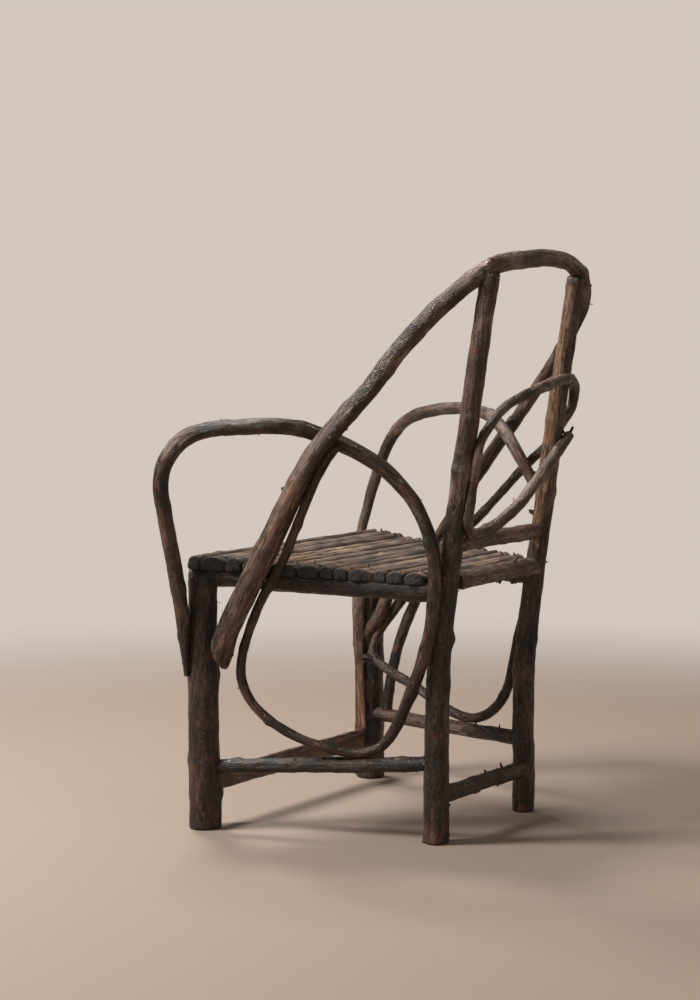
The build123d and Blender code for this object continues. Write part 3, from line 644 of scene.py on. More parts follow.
class Shader:
    """A node material with short calls for its nodes."""

    def __init__(self, name):
        self.material = bpy.data.materials.new(name)
        self.material.use_nodes = True
        self.tree = self.material.node_tree
        self.surface = self.tree.nodes["Principled BSDF"]

    def node(self, kind, **settings):
        made = self.tree.nodes.new("ShaderNode" + kind)
        for key, value in settings.items():
            setattr(made, key, value)
        return made

    def wire(self, value, socket):
        """A socket gets another node's output, or a plain value."""
        if isinstance(value, bpy.types.NodeSocket):
            self.tree.links.new(value, socket)
        else:
            socket.default_value = value

    def fact(self, name):
        return self.node("Attribute", attribute_name=name).outputs["Fac"]

    def place(self, scale):
        """Position in a stick: X and Y across it and Z along it, in metres, times a scale."""
        source = self.node("Attribute", attribute_name="stick").outputs["Vector"]
        mapping = self.node("Mapping")
        self.wire(source, mapping.inputs["Vector"])
        mapping.inputs["Scale"].default_value = scale
        return mapping.outputs["Vector"]

    def noise(self, scale, detail=4.0, roughness=0.6, distortion=0.0):
        made = self.node("TexNoise")
        self.wire(self.place(scale), made.inputs["Vector"])
        made.inputs["Scale"].default_value = 1.0
        made.inputs["Detail"].default_value = detail
        made.inputs["Roughness"].default_value = roughness
        made.inputs["Distortion"].default_value = distortion
        return made.outputs["Fac"]

    def maths(self, operation, a, b=0.0, clamp=False):
        made = self.node("Math", operation=operation, use_clamp=clamp)
        self.wire(a, made.inputs[0])
        self.wire(b, made.inputs[1])
        return made.outputs[0]

    def times(self, a, b):
        return self.maths("MULTIPLY", a, b)

    def less(self, a, b):
        return self.maths("SUBTRACT", a, b)

    def total(self, first, *others):
        for other in others:
            first = self.maths("ADD", first, other)
        return first

    def spread(self, value, low, high, to_low=0.0, to_high=1.0):
        made = self.node("MapRange", interpolation_type="SMOOTHSTEP")
        self.wire(value, made.inputs["Value"])
        made.inputs["From Min"].default_value = low
        made.inputs["From Max"].default_value = high
        made.inputs["To Min"].default_value = to_low
        made.inputs["To Max"].default_value = to_high
        return made.outputs["Result"]

    def mix(self, share, a, b, blend="MIX"):
        made = self.node("Mix", data_type="RGBA", blend_type=blend)
        self.wire(share, made.inputs["Factor"])
        for value, socket in ((a, made.inputs[6]), (b, made.inputs[7])):
            self.wire((*value, 1) if isinstance(value, tuple) else value, socket)
        return made.outputs[2]

    def over(self, colour, paint, *masks):
        """A colour with a paint laid over it, once for each mask."""
        for mask in masks:
            colour = self.mix(mask, colour, paint)
        return colour

    def lines(self, pattern, width, strength):
        """Thin lines where a pattern is near its middle."""
        return self.spread(self.maths("ABSOLUTE", self.less(pattern, 0.5)), 0.0, width, strength, 0.0)

    def dark_marks(self):
        """Masks of the mesh's own cracks and knots."""
        return self.times(self.fact("crack"), 0.9), self.times(self.fact("knot"), 0.6)

    def colours(self, value, *stops):
        """A colour ramp: each stop is a share and a colour."""
        made = self.node("ValToRGB")
        elements = made.color_ramp.elements
        while len(elements) < len(stops):
            elements.new(0.5)
        for element, (share, colour) in zip(elements, stops):
            element.position = share
            element.color = (*colour, 1)
        self.wire(value, made.inputs["Fac"])
        return made.outputs["Color"]

    def bumps(self, *layers):
        """Each layer is a height and its depth in metres. The last layer is the finest."""
        normal = None
        for height, depth in layers:
            made = self.node("Bump")
            made.inputs["Strength"].default_value = 1.0
            made.inputs["Distance"].default_value = depth
            self.wire(height, made.inputs["Height"])
            if normal is not None:
                self.wire(normal, made.inputs["Normal"])
            normal = made.outputs["Normal"]
        self.wire(normal, self.surface.inputs["Normal"])


BARK_BLACK = (0.012, 0.008, 0.0055)
BARK_UMBER = (0.027, 0.0145, 0.0085)
BARK_BROWN = (0.066, 0.036, 0.0215)
BARK_TAN = (0.145, 0.088, 0.055)
BARK_GREY = (0.265, 0.200, 0.160)
BARK_RUST = (0.155, 0.056, 0.026)
WOOD_DARK = (0.040, 0.022, 0.013)
WOOD_RUST = (0.190, 0.085, 0.040)
WOOD_PALE = (0.42, 0.26, 0.15)
CUT_DARK = (0.012, 0.010, 0.009)
CUT_LIGHT = (0.085, 0.066, 0.052)


def bark_material():
    """Thin weathered bark: dark fibres, rust and grey patches, bare wood where it has worn away."""
    shader = Shader("bark")
    patches = shader.noise((34, 34, 15), 5, 0.6, 0.3)
    streaks = shader.noise((270, 270, 36), 7, 0.66, 0.6)
    fibres = shader.noise((800, 800, 90), 5, 0.7, 0.3)
    flecks = shader.noise((290, 290, 140), 6, 0.74)
    level = shader.total(shader.times(streaks, 0.66), shader.times(patches, 0.80), shader.times(fibres, 0.34),
                         shader.less(shader.fact("tone"), 0.94))
    bark = shader.colours(level, (0.28, BARK_BLACK), (0.41, BARK_UMBER), (0.53, BARK_BROWN), (0.66, BARK_TAN),
                          (0.82, BARK_GREY))
    rusty = shader.spread(shader.noise((44, 44, 20), 5, 0.62, 0.4), 0.52, 0.66)
    bark = shader.over(bark, BARK_RUST, shader.times(rusty, shader.spread(streaks, 0.38, 0.60, 0.1, 0.7)))
    bark = shader.over(bark, BARK_GREY, shader.spread(flecks, 0.56, 0.70, 0.0, 0.5))
    grain = shader.noise((360, 360, 22), 7, 0.68, 0.5)
    wood = shader.colours(grain, (0.36, WOOD_DARK), (0.50, WOOD_RUST), (0.66, WOOD_PALE))
    wood = shader.over(wood, WOOD_DARK, shader.spread(streaks, 0.40, 0.54, 0.85, 0.0))
    split = shader.lines(shader.noise((150, 150, 13), 4, 0.55, 1.2), 0.020, 0.9)
    scar = shader.spread(shader.noise((90, 90, 260), 4, 0.6, 0.8), 0.64, 0.70, 0.0, 0.8)
    pit = shader.spread(shader.noise((330, 330, 120), 5, 0.7, 0.5), 0.40, 0.33, 0.0, 0.85)
    colour = shader.mix(shader.fact("worn"), bark, wood)
    colour = shader.over(colour, BARK_BLACK, *shader.dark_marks(), split, scar, pit)
    rings = shader.noise((420, 420, 5), 3, 0.5, 0.8)
    cut = shader.colours(rings, (0.3, CUT_DARK), (0.7, CUT_LIGHT))
    shader.wire(shader.mix(shader.fact("cut"), colour, cut), shader.surface.inputs["Base Color"])
    gloss = shader.spread(shader.noise((130, 130, 60), 5, 0.6), 0.35, 0.65, 0.19, 0.54)
    gloss = shader.maths("ADD", gloss, shader.times(shader.fact("cut"), 0.3), clamp=True)
    shader.wire(gloss, shader.surface.inputs["Roughness"])
    relief = shader.less(shader.less(streaks, shader.times(split, 0.25)), shader.times(scar, 0.15))
    shader.bumps((patches, 2.2 * MM), (relief, 2.2 * MM), (flecks, 0.7 * MM), (fibres, 0.6 * MM))
    return shader.material


SLAT_BLACK = (0.012, 0.008, 0.006)
SLAT_BROWN = (0.058, 0.034, 0.021)
SLAT_GREY = (0.148, 0.102, 0.073)
SLAT_TAN = (0.35, 0.225, 0.137)
SLAT_ORANGE = (0.42, 0.235, 0.11)
END_DARK = (0.007, 0.007, 0.007)
END_LIGHT = (0.052, 0.046, 0.042)


def slat_material():
    """Split branches: grey and tan grain on top, with end grain that is nearly black."""
    shader = Shader("split_wood")
    grain = shader.noise((420, 420, 14), 7, 0.7, 0.5)
    mottle = shader.noise((80, 80, 20), 5, 0.62)
    warm = shader.noise((26, 26, 6), 3, 0.5)
    level = shader.total(shader.times(grain, 0.62), shader.times(mottle, 0.42),
                         shader.less(shader.fact("tone"), 0.58))
    colour = shader.colours(level, (0.28, SLAT_BLACK), (0.41, SLAT_BROWN), (0.54, SLAT_GREY),
                            (0.70, SLAT_TAN))
    colour = shader.mix(shader.spread(warm, 0.50, 0.64, 0.0, 0.5), colour, SLAT_ORANGE, "MULTIPLY")
    orange = shader.times(shader.spread(warm, 0.50, 0.64, 0.0, 0.75), shader.spread(grain, 0.45, 0.6))
    split = shader.lines(shader.noise((190, 190, 8), 4, 0.55, 1.0), 0.018, 0.85)
    colour = shader.over(colour, SLAT_ORANGE, orange)
    colour = shader.over(colour, SLAT_BLACK, split, *shader.dark_marks())
    rings = shader.noise((520, 520, 30), 5, 0.7, 0.6)
    ends = shader.colours(rings, (0.34, END_DARK), (0.68, END_LIGHT))
    shader.wire(shader.mix(shader.fact("cut"), colour, ends), shader.surface.inputs["Base Color"])
    shader.wire(shader.spread(mottle, 0.3, 0.7, 0.42, 0.72), shader.surface.inputs["Roughness"])
    relief = shader.less(grain, shader.times(split, 0.3))
    shader.bumps((mottle, 1.0 * MM), (relief, 1.6 * MM), (rings, 0.4 * MM))
    return shader.material


IRON_DARK, IRON_RUST = (0.028, 0.024, 0.022), (0.12, 0.055, 0.030)
RUST_SIZE = 420


def iron_material():
    """Dark hand-forged nails with rust."""
    shader = Shader("iron")
    made = shader.node("TexNoise")
    shader.wire(shader.node("TexCoord").outputs["Object"], made.inputs["Vector"])
    made.inputs["Scale"].default_value = RUST_SIZE
    made.inputs["Detail"].default_value = 5
    patches = made.outputs["Fac"]
    colour = shader.colours(patches, (0.35, IRON_DARK), (0.65, IRON_RUST))
    shader.wire(colour, shader.surface.inputs["Base Color"])
    shader.wire(shader.spread(patches, 0.4, 0.65, 0.45, 0.85), shader.surface.inputs["Roughness"])
    shader.surface.inputs["Metallic"].default_value = 0.6
    shader.bumps((patches, 0.3 * MM))
    return shader.material


WOODS = {"bark": bark_material(), "split_wood": slat_material()}
IRON = iron_material()

# ---- Bent rods and logs

LEFT, RIGHT, BACK, FRONT = (1, 0, 0), (-1, 0, 0), (0, 1, 0), (0, -1, 0)
UP, DOWN = (0, 0, 1), (0, 0, -1)

# Broken twigs and splinters: where each is seen in the picture, which way it points there, its length and
# thickness in millimetres
TWIGS = {
    "back_hoop": ((283, 487, -1, -0.3, 2, 7), (571, 281, -0.6, 1, 3, 9), (585, 283, 1, 0.2, 2, 5),
        (588, 306, 1, 0, 6, 1.2), (347, 424, 0.4, 1, 3, 4)),
    "left_arm_bow": ((261, 431, -0.3, 1, 4, 2.5), (238, 688, -1, 0.3, 5, 2.5), (397, 738, 0.1, 1, 4, 6),
        (222, 436, 0, -1, 1.5, 4), (418, 500, 1, -0.4, 3, 2)),
    "lower_right_bow": ((371, 650, -0.45, 0.9, 11, 11), (371, 660, -1, -0.12, 12, 10),
        (372, 663, -1, 0.25, 16, 2), (371, 665, -1, 0.5, 11, 1.8), (458, 718, 0.1, 1, 3, 4)),
    "back_loop": ((567, 436, 0.5, -0.9, 9, 5), (563, 437, -0.3, -1, 7, 4), (515, 508, -0.2, -1, 6, 1.4),
        (497, 421, 0.2, 1, 3, 2), (482, 527, -0.4, 1, 3, 7)),
    "left_front_leg": ((218, 592, 1, -0.5, 7, 1.4), (218, 597, 1, 0.4, 8, 1.4), (193, 590, -1, -1, 3, 6),
        (213, 588, 0.6, -1, 3, 5), (221, 668, 1, 0.3, 2, 5)),
    "right_front_leg": ((372, 770, -1, 0.2, 2, 6),),
    "left_back_post": ((458, 600, 1, -0.6, 7, 1.6), (447, 662, 1, -0.8, 4, 3), (444, 798, 1, 0.6, 4, 8),
        (425, 836, -1, 0.5, 3, 7), (447, 655, 1, -1, 3, 1.5)),
    "right_back_post": ((532, 514, -1, -0.3, 6, 9), (541, 566, 1, -0.3, 4, 4), (567, 284, -0.8, -1, 3, 7)),
    "left_stretcher": ((417, 760, 0.9, -0.8, 9, 7), (414, 764, 0.6, 1, 2, 8), (225, 771, -0.6, 1, 4, 7)),
    "right_stretcher": ((499, 730, 0.1, -1, 5, 4), (383, 716, -1, -0.4, 2, 8)),
    "rear_stretcher": ((503, 773, -0.3, -1, 6, 5), (489, 778, -0.5, -1, 3, 5), (498, 786, 0.3, 1, 2, 5)),
    "upper_back_rail": ((532, 524, 1, 0.3, 2, 9),),
    "rear_seat_rail": ((512, 572, 0.2, 1, 4, 15), (505, 571, -0.5, 1, 3, 10), (505, 558, 0.9, -1, 8, 4)),
}


def run_to(way, line):
    """A traced line, turned about if it doesn't run the way asked."""
    centres, radii = line
    if (centres[-1] - centres[0]) @ way < 0:
        return centres[::-1], radii[::-1]
    return centres, radii


def lighten(skin, amount, low, high):
    """Make a skin lighter upwards, between two heights."""
    skin.facts["tone"] = skin.facts["tone"] + amount * ramp(skin.grid[..., 2], low, high)


CROWN_TONE, CROWN_LOW, CROWN_HIGH = 0.13, 0.82, 0.89  # how much lighter the hoop is over the back


def hoop_piece():
    centres, radii = run_to(RIGHT, trace_node("back_hoop"))
    stick = Stick(nudged(centres, -0.2, 0.03, -7, 7), radii)
    look = Look(3, tone=0.58, knots=95 * MM, lobes=0.04, worn=(
        (0.02, 0.17, (1, 0.6, -0.2), 0.6), (0.17, 0.22, (1, 0, 1), 0.4), (0.27, 0.31, (1, 0, 0.8), 0.35)))
    ends = (End(slant=0.8, facing=(0.1, -1, -0.3), round_off=5 * MM), End(round_off=3 * MM))
    skins = [Skin(stick, look, ends), *twigs(stick, "back_hoop", 500)]
    lighten(skins[0], CROWN_TONE, CROWN_LOW, CROWN_HIGH)
    make_piece("hoop", skins, "back_hoop")


def left_arm_piece():
    centres, radii = run_to(BACK, trace_node("left_arm_bow"))
    centres = nudged(centres, 0.05, 0.2, 5, 0)
    stick = Stick(centres, thicker(centres, radii, -0.2, 0.19, 1.38))
    look = Look(21, tone=0.52, knots=85 * MM, lobes=0.04,
                worn=((0.14, 0.22, UP, 0.45), (0.24, 0.34, UP, 0.5)))
    ends = (End(round_off=2 * MM, thin=0.55, thin_over=80 * MM), End(round_off=2 * MM, slant=0.6))
    make_piece("left_arm", [Skin(stick, look, ends), *twigs(stick, "left_arm_bow", 520)], "left_arm_bow")


def right_side_pieces():
    stick = Stick(*run_to(UP, trace_node("right_arm_bow")))
    look = Look(45, tone=0.6, knots=80 * MM,
                worn=((0.0, 0.14, (1, -0.4, 0), 0.6), (0.8, 1.0, (1, 0, 0.6), 0.5)))
    ends = (End(slant=1.5, facing=FRONT), End(2 * MM, stain=5 * MM))
    make_piece("right_arm", [Skin(stick, look, ends)], "right_arm_bow")

    stick = Stick(*trace_node("lower_right_bow"))
    look = Look(67, tone=0.54, knots=75 * MM, worn=((0.45, 0.6, UP, 0.4),))
    skins = [Skin(stick, look, (End(6 * MM), End(3 * MM))), *twigs(stick, "lower_right_bow", 540)]
    make_piece("lower_bow", skins, "lower_right_bow")

    stick = Stick(*run_to(UP, trace_node("right_brace")), lengthen=(3 * MM, 0))
    look = Look(83, tone=0.46, knots=90 * MM)
    make_piece("brace", [Skin(stick, look, (HIDDEN, End(4 * MM)))], "right_brace")


def back_loop_piece():
    """A thin rod bent double over a kink on the left post, with a broken end."""
    centres, radii = trace_node("back_loop")
    radii = thicker(centres, radii, -0.2, 1.2, 1.2)
    stick = Stick(centres, radii, smooth=9 * MM, lengthen=(0, 12 * MM))
    look = Look(101, tone=0.65, knots=45 * MM, lobes=0.06, rough=1.2)
    ends = (End(2 * MM, splinters=0.8), End(2 * MM, splinters=0.8))
    make_piece("loop", [Skin(stick, look, ends), *twigs(stick, "back_loop", 560)], "back_loop")


STRIP_LOW, STRIP_HIGH = 84 * MM, 396 * MM
STRIP_WIDTH, STRIP_THICKNESS = 17 * MM, 8 * MM
STRIP_SIDE = (0.996, 0.088)  # the leg's side that it lies on
STRIP_POINTS = 40
STRIP_OUT = 0.2  # how far its middle lies outside the leg, in thicknesses
STRIP_LEAN, STRIP_LEAN_TURN = 4 * MM, 3  # how far it leans to one side, and over how much of a sine wave
STRIP_LEAST_ACROSS, STRIP_ROUNDING = 0.05, 0.15


def strip_skin(leg, thick):
    """A flat split strip, pale where its bark is gone, along the inner side of the right front leg."""
    heights = np.linspace(STRIP_LOW, STRIP_HIGH, STRIP_POINTS)
    order = np.argsort(leg[:, 2])
    middle = np.stack([np.interp(heights, leg[order, 2], leg[order, k]) for k in (0, 1)], axis=1)
    reach = np.interp(heights, leg[order, 2], thick[order])[:, None] + STRIP_OUT * STRIP_THICKNESS
    lean = STRIP_LEAN * np.sin(np.linspace(0, STRIP_LEAN_TURN, STRIP_POINTS))[:, None]
    lean = lean * np.array([STRIP_SIDE[1], -STRIP_SIDE[0]])
    centres = np.concatenate([middle + reach * np.array(STRIP_SIDE) + lean, heights[:, None]], axis=1)
    stick = Stick(centres, np.full(STRIP_POINTS, STRIP_WIDTH / 2), smooth=0)
    side = (*STRIP_SIDE, 0)
    look = Look(58, tone=0.6, knots=400 * MM, lobes=0.05, rough=0.7, worn=((0.03, 0.40, side, 0.9),))

    def profile(angles):
        across = (np.cos(angles)[..., None] * stick.sides[:, None, :]
                  + np.sin(angles)[..., None] * stick.ups[:, None, :]) @ np.array(side)
        flat = STRIP_THICKNESS / 2 / np.maximum(np.abs(across), STRIP_LEAST_ACROSS)
        return np.minimum(flat, STRIP_WIDTH / 2 * (1 - STRIP_ROUNDING * across ** 2))

    return Skin(stick, look, (End(2 * MM, splinters=0.3), End(2 * MM)), profile)


# The branch's stops: height, and how far it stands off the leg's middle to the left and to the back
FORK_STOPS = ((0.232, 0.006, 0.0), (0.260, 0.018, 0.008), (0.283, 0.024, 0.032), (0.320, 0.020, 0.046),
              (0.394, 0.0137, 0.048))
FORK_THICKNESS = 23 * MM


def fork_skin(leg):
    """The branch that grew from the right front leg."""
    stops = []
    for height, left, back in FORK_STOPS:
        middle = leg[np.argmin(np.abs(leg[:, 2] - height))]
        stops.append((middle[0] + left, middle[1] + back, height))
    stick = Stick(np.array(stops), np.full(len(stops), FORK_THICKNESS / 2), smooth=10 * MM)
    return Skin(stick, Look(171, tone=0.74, knots=60 * MM), (HIDDEN, End(2 * MM)))


LOST_END = 25 * MM  # a trace may stray this far from a log's end, and the line is drawn straight from there
STRAIGHT_FROM = 5  # in lost ends: the stretch that gives the straight line its way


def to_both_ends(node, centres, radii):
    """An upright log's line, from its lowest end to its highest, run on straight past a short trace."""
    low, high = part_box(node)
    for wanted in (high.z, low.z):
        along = run_along(centres)
        last = int(np.searchsorted(along, along[-1] - LOST_END))
        before = int(np.searchsorted(along, along[-1] - STRAIGHT_FROM * LOST_END))
        way = centres[last] - centres[before]
        tip = centres[last] + way * (wanted - centres[last][2]) / way[2]
        centres = np.vstack([centres[:last + 1], tip])[::-1]
        radii = np.append(radii[:last + 1], radii[last])[::-1]
    return centres, radii


UPPER_TONE, UPPER_LOW, UPPER_HIGH = 0.16, 0.40, 0.58  # how much lighter the logs are above the seat
INTO_ARM = (0, 7 * MM)  # how much longer a leg is, so that it reaches its arm

# Worn places of the upright logs: share from, share to, the side that faces out, and how much
UPRIGHTS = {
    "left_front_leg": ((0.80, 1.0, (0.9, -0.4, 0), 0.3),),
    "right_front_leg": ((0.45, 0.75, LEFT, 0.4),),
    "left_back_post": ((0.72, 0.78, (1, 1, 0), 0.35),),
    "right_back_post": ((0.50, 0.98, (0.85, -0.6, 0), 1.1), (0.28, 0.42, (1, 0, 0), 0.45)),
}


def upright_pieces():
    for k, (node, places) in enumerate(UPRIGHTS.items()):
        centres, radii = to_both_ends(node, *run_to(UP, trace_straight(node, LOG_REACH)))
        look = Look(130 + 7 * k, tone=0.44, knots=110 * MM, rough=1.25, worn=places, lobes=0.045)
        stick = Stick(centres, radii, lengthen=INTO_ARM if "leg" in node else (0, 0))
        skins = [Skin(stick, look, (End(2.5 * MM), End(2 * MM, splinters=0.4)))]
        skins += twigs(stick, node, 600 + 10 * k)
        if node == "right_front_leg":
            skins += [fork_skin(centres), strip_skin(centres, radii)]
        for skin in skins:
            skin.grid[..., 2] = np.maximum(skin.grid[..., 2], 0)
            lighten(skin, UPPER_TONE, UPPER_LOW, UPPER_HIGH)
        make_piece(node + "_bark", skins, node)


STRAIGHT_TONES = {"left_seat_rail": 0.38, "right_seat_rail": 0.42, "left_stretcher": 0.40,
                  "right_stretcher": 0.56, "rear_stretcher": 0.5, "upper_back_rail": 0.66}
INTO_LOGS = (4 * MM, 4 * MM)  # how much longer a log is, so that it reaches into those that carry it
SEAT_RAIL_THICKER = 1.1


def straight_pieces():
    for k, (node, tone) in enumerate(STRAIGHT_TONES.items()):
        centres, radii = run_to(BACK, trace_straight(node, RAIL_REACH))
        ends = (HIDDEN, HIDDEN)
        if "seat" in node:
            radii = thicker(centres, radii, -0.2, 1.2, SEAT_RAIL_THICKER)
            ends = (End(7 * MM, stain=14 * MM), HIDDEN)
        stick = Stick(centres, radii, lengthen=INTO_LOGS)
        look = Look(200 + 11 * k, tone=tone, knots=85 * MM, rough=1.1)
        make_piece(node + "_bark", [Skin(stick, look, ends), *twigs(stick, node, 700 + 10 * k)], node)


# ---- Split logs

SECTION_REACH = 0.05
SECTION_SHIFTS, SECTION_FILL = (-2, -1, 1, 2), 0.97  # a hollow is filled from this many rings away
SECTION_KERNEL = (0.02, 0.16, 0.64, 0.16, 0.02)


def section_of(node, stick, from_outside=True):
    """The node's own section along a stick, its corners a little rounded, as a function of the angles."""
    walls = Walls(node, SECTION_REACH, from_outside)

    def profile(angles):
        reach = np.empty((len(stick.along), len(angles[0])))
        for i, centre in enumerate(stick.centres):
            for j, turn in enumerate(angles[0]):
                way = Vector(stick.sides[i] * math.cos(turn) + stick.ups[i] * math.sin(turn))
                found = walls.distance(Vector(centre), way)
                reach[i, j] = stick.radii[i] if found is None else found
        for shift in SECTION_SHIFTS if from_outside else ():
            reach = np.maximum(reach, SECTION_FILL * np.roll(reach, shift, axis=0))
        return sum(share * np.roll(reach, k - 2, axis=1) for k, share in enumerate(SECTION_KERNEL))

    return profile


SPLIT_INSET = 14 * MM
SPLIT_POINTS = 60
SPLIT_LOGS = {"rear_seat_rail": (DOWN, 1), "front_stretcher": (BACK, 2)}  # its flat side, and a radius's axis


def split_pieces():
    for k, (node, (flat, axis)) in enumerate(SPLIT_LOGS.items()):
        low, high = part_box(node)
        middle = (low + high) / 2
        ends = [Vector((x, middle.y, middle.z)) for x in (low.x + SPLIT_INSET, high.x - SPLIT_INSET)]
        centres = np.array([tuple(ends[0].lerp(ends[1], share)) for share in np.linspace(0, 1, SPLIT_POINTS)])
        stick = Stick(centres, np.full(SPLIT_POINTS, (high[axis] - low[axis]) / 2), smooth=0)
        look = Look(310 + 11 * k, tone=0.64, knots=90 * MM, worn=((0.0, 1.0, flat, 0.75),), wobble=0.4 * MM)
        skins = [Skin(stick, look, (End(9 * MM), HIDDEN), section_of(node, stick))]
        make_piece(node + "_bark", skins + twigs(stick, node, 800 + 10 * k), node)


# ---- Seat

SLATS = sorted(name for name in cad_nodes if name.startswith("seat_slat"))
SLAT_POINTS = 120
SLAT_SINK = 1 * MM  # how far a slat's line lies under the middle of its solid
SLAT_TRIM = 3.5 * MM  # the most that an end is cut short
SLAT_TONES = (0.4, 0.62)
SLAT_TOP_TONE, SLAT_EDGE_PAINTED_SHADE, SLAT_SIDE_PAINTED_SHADE = 0.34, 0.85, 0.22  # the split top is lighter; the darker edges and sides are painted shade in the gaps between slats
SLAT_TOP = 5 * MM  # from its middle up to its top
SLAT_CROWN, SLAT_CROWN_MIDDLE = 2 * MM, 0.7  # how much higher a slat's middle is than its sides
SLAT_HANG = 3 * MM  # how much lower its ends reach outside the rails
HANG_FROM, HANG_WHOLE = 0.018, 0.008  # how far in from its end it starts to hang, and hangs all the way


def slat_edge(side):
    """The line in plan that the slats' ends lie on at one side: X at Y = 0, and X for each metre of Y."""
    ends = []
    for name in (SLATS[0], SLATS[-1]):
        low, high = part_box(name)
        ends.append((low.y, high.x if side > 0 else low.x))
    slope = (ends[1][1] - ends[0][1]) / (ends[1][0] - ends[0][0])
    return ends[0][1] - slope * ends[0][0], slope


def slat_pieces():
    edges = {side: slat_edge(side) for side in (1, -1)}
    draw = np.random.default_rng(77).uniform
    for k, node in enumerate(SLATS):
        low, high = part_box(node)
        y = (low.y + high.y) / 2
        z = (low.z + high.z) / 2 - SLAT_SINK
        half = (high.y - low.y) / 2
        reach = {side: at + slope * y for side, (at, slope) in edges.items()}
        trim = draw(0, SLAT_TRIM, 2)
        line = np.linspace(reach[-1] + trim[0], reach[1] - trim[1], SLAT_POINTS)
        centres = np.stack([line, np.full(SLAT_POINTS, y), np.full(SLAT_POINTS, z)], axis=1)
        stick = Stick(centres, np.full(SLAT_POINTS, half), smooth=0)
        look = Look(400 + 13 * k, tone=draw(*SLAT_TONES), knots=150 * MM, rough=0.9, swell=0.01,
                    lobes=0.02, wobble=0.5 * MM)
        end = End(2 * MM, splinters=0.25, stain=6 * MM)
        skin = Skin(stick, look, (end, end), section_of(node, stick, False))
        across = np.clip((skin.grid[..., 1] - y) / half, -1, 1)
        upper = ramp(skin.grid[..., 2], z, z + SLAT_TOP)
        # Lighter on the split top, and darker towards its edges and down the sides: that darkening is painted
        # shade in the gaps between slats
        lighter = SLAT_TOP_TONE * upper * (SLAT_EDGE_PAINTED_SHADE - across ** 4)
        skin.facts["tone"] = skin.facts["tone"] + lighter - SLAT_SIDE_PAINTED_SHADE
        skin.grid[..., 2] += upper * SLAT_CROWN * (SLAT_CROWN_MIDDLE - across ** 2)
        middle = (reach[1] + reach[-1]) / 2
        for side, (_, slope) in edges.items():
            share = np.clip((skin.grid[..., 0] - middle) / (reach[side] - middle), 0, 1)
            skin.grid[..., 0] += share * slope * (skin.grid[..., 1] - y)
            length = abs(reach[side] - middle)
            hang = ramp(share, 1 - HANG_FROM / length, 1 - HANG_WHOLE / length)
            skin.grid[..., 2] -= hang * SLAT_HANG * ramp(skin.grid[..., 2], z, low.z)
        make_piece(node + "_wood", [skin], node, "split_wood")


hoop_piece()
left_arm_piece()
right_side_pieces()
back_loop_piece()
upright_pieces()
straight_pieces()
split_pieces()
slat_pieces()
for name in ("slat_nails", "frame_nails", "bow_nails"):
    cad_nodes[name].data.materials.clear()
    cad_nodes[name].data.materials.append(IRON)

# ---- Floor, backdrop and light

WALL = (0.645, 0.575, 0.515)
FLOOR = (0.285, 0.220, 0.178)
FLOOR_ROUGHNESS = 0.8
FLOOR_RADIUS, FLOOR_RINGS, FLOOR_AROUND = 9, 40, 96
FLOOR_FADES, FLOOR_GONE = 1.1, 2.6  # how far out
SKY, SKY_STRENGTH = (1.0, 0.89, 0.78), 0.25
LIT_POINT = (0, 0, 0.5)

# Turn from the camera's azimuth, elevation, distance, size, power and colour
LAMPS = {
    "key": (-78, 36, 3.2, 0.9, 150, (1.0, 0.98, 0.955)),
    "top": (-150, 58, 3.4, 0.9, 95, (1.0, 0.98, 0.96)),
    "fill": (40, 25, 3.6, 2.2, 12, (1.0, 0.9, 0.8)),
}


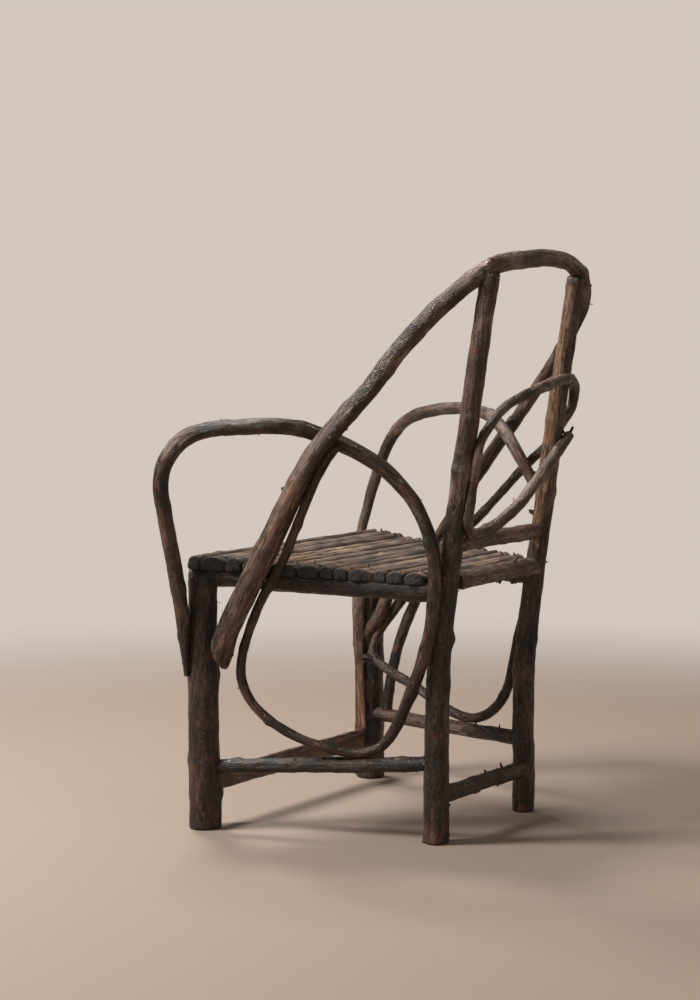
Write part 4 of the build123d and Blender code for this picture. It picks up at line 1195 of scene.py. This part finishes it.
def make_floor():
    """A plain disk that fades into the backdrop."""
    points = [(0, 0, 0)]
    for ring in range(1, FLOOR_RINGS + 1):
        out = FLOOR_RADIUS * ring / FLOOR_RINGS
        for k in range(FLOOR_AROUND):
            turn = 2 * math.pi * k / FLOOR_AROUND
            points.append((out * math.cos(turn), out * math.sin(turn), 0))
    faces = [(0, 1 + k, 1 + (k + 1) % FLOOR_AROUND) for k in range(FLOOR_AROUND)]
    for first in range(1, 1 + (FLOOR_RINGS - 1) * FLOOR_AROUND, FLOOR_AROUND):
        for k in range(FLOOR_AROUND):
            after = (k + 1) % FLOOR_AROUND
            faces.append((first + k, first + FLOOR_AROUND + k, first + FLOOR_AROUND + after, first + after))
    mesh = bpy.data.meshes.new("floor")
    mesh.from_pydata(points, [], faces)
    floor = add("floor", mesh)
    shader = Shader("floor")
    far = shader.node("VectorMath", operation="LENGTH")
    shader.wire(shader.node("NewGeometry").outputs["Position"], far.inputs[0])
    shader.surface.inputs["Base Color"].default_value = (*FLOOR, 1)
    shader.surface.inputs["Roughness"].default_value = FLOOR_ROUGHNESS
    clear = shader.node("BsdfTransparent")
    blend = shader.node("MixShader")
    shader.wire(shader.spread(far.outputs["Value"], FLOOR_FADES, FLOOR_GONE), blend.inputs["Fac"])
    shader.wire(shader.surface.outputs["BSDF"], blend.inputs[1])
    shader.wire(clear.outputs["BSDF"], blend.inputs[2])
    shader.wire(blend.outputs["Shader"], shader.tree.nodes["Material Output"].inputs["Surface"])
    mesh.materials.append(shader.material)


def make_world():
    """Pale light from all round, and the plain wall colour where the camera looks or a ray passes through."""
    world = bpy.data.worlds.new("studio")
    bpy.context.scene.world = world
    world.use_nodes = True
    tree = world.node_tree
    light = tree.nodes["Background"]
    light.inputs["Color"].default_value = (*SKY, 1)
    light.inputs["Strength"].default_value = SKY_STRENGTH
    wall = tree.nodes.new("ShaderNodeBackground")
    wall.inputs["Color"].default_value = (*WALL, 1)
    rays = tree.nodes.new("ShaderNodeLightPath")
    either = tree.nodes.new("ShaderNodeMath")
    either.operation = "MAXIMUM"
    blend = tree.nodes.new("ShaderNodeMixShader")
    tree.links.new(rays.outputs["Is Camera Ray"], either.inputs[0])
    tree.links.new(rays.outputs["Is Transmission Ray"], either.inputs[1])
    tree.links.new(either.outputs[0], blend.inputs["Fac"])
    tree.links.new(light.outputs["Background"], blend.inputs[1])
    tree.links.new(wall.outputs["Background"], blend.inputs[2])
    tree.links.new(blend.outputs["Shader"], tree.nodes["World Output"].inputs["Surface"])


def make_lamps():
    for name, (turn, elevation, distance, size, power, colour) in LAMPS.items():
        data = bpy.data.lights.new(name, "AREA")
        data.shape = "DISK"
        data.size = size
        data.energy = power
        data.color = colour
        lamp = add_aimed(name, data, LIT_POINT, CAMERA_AZIMUTH + turn, elevation, distance)
        lamp.visible_camera = False


make_floor()
make_world()
make_lamps()

bpy.context.scene.view_settings.view_transform = "Standard"
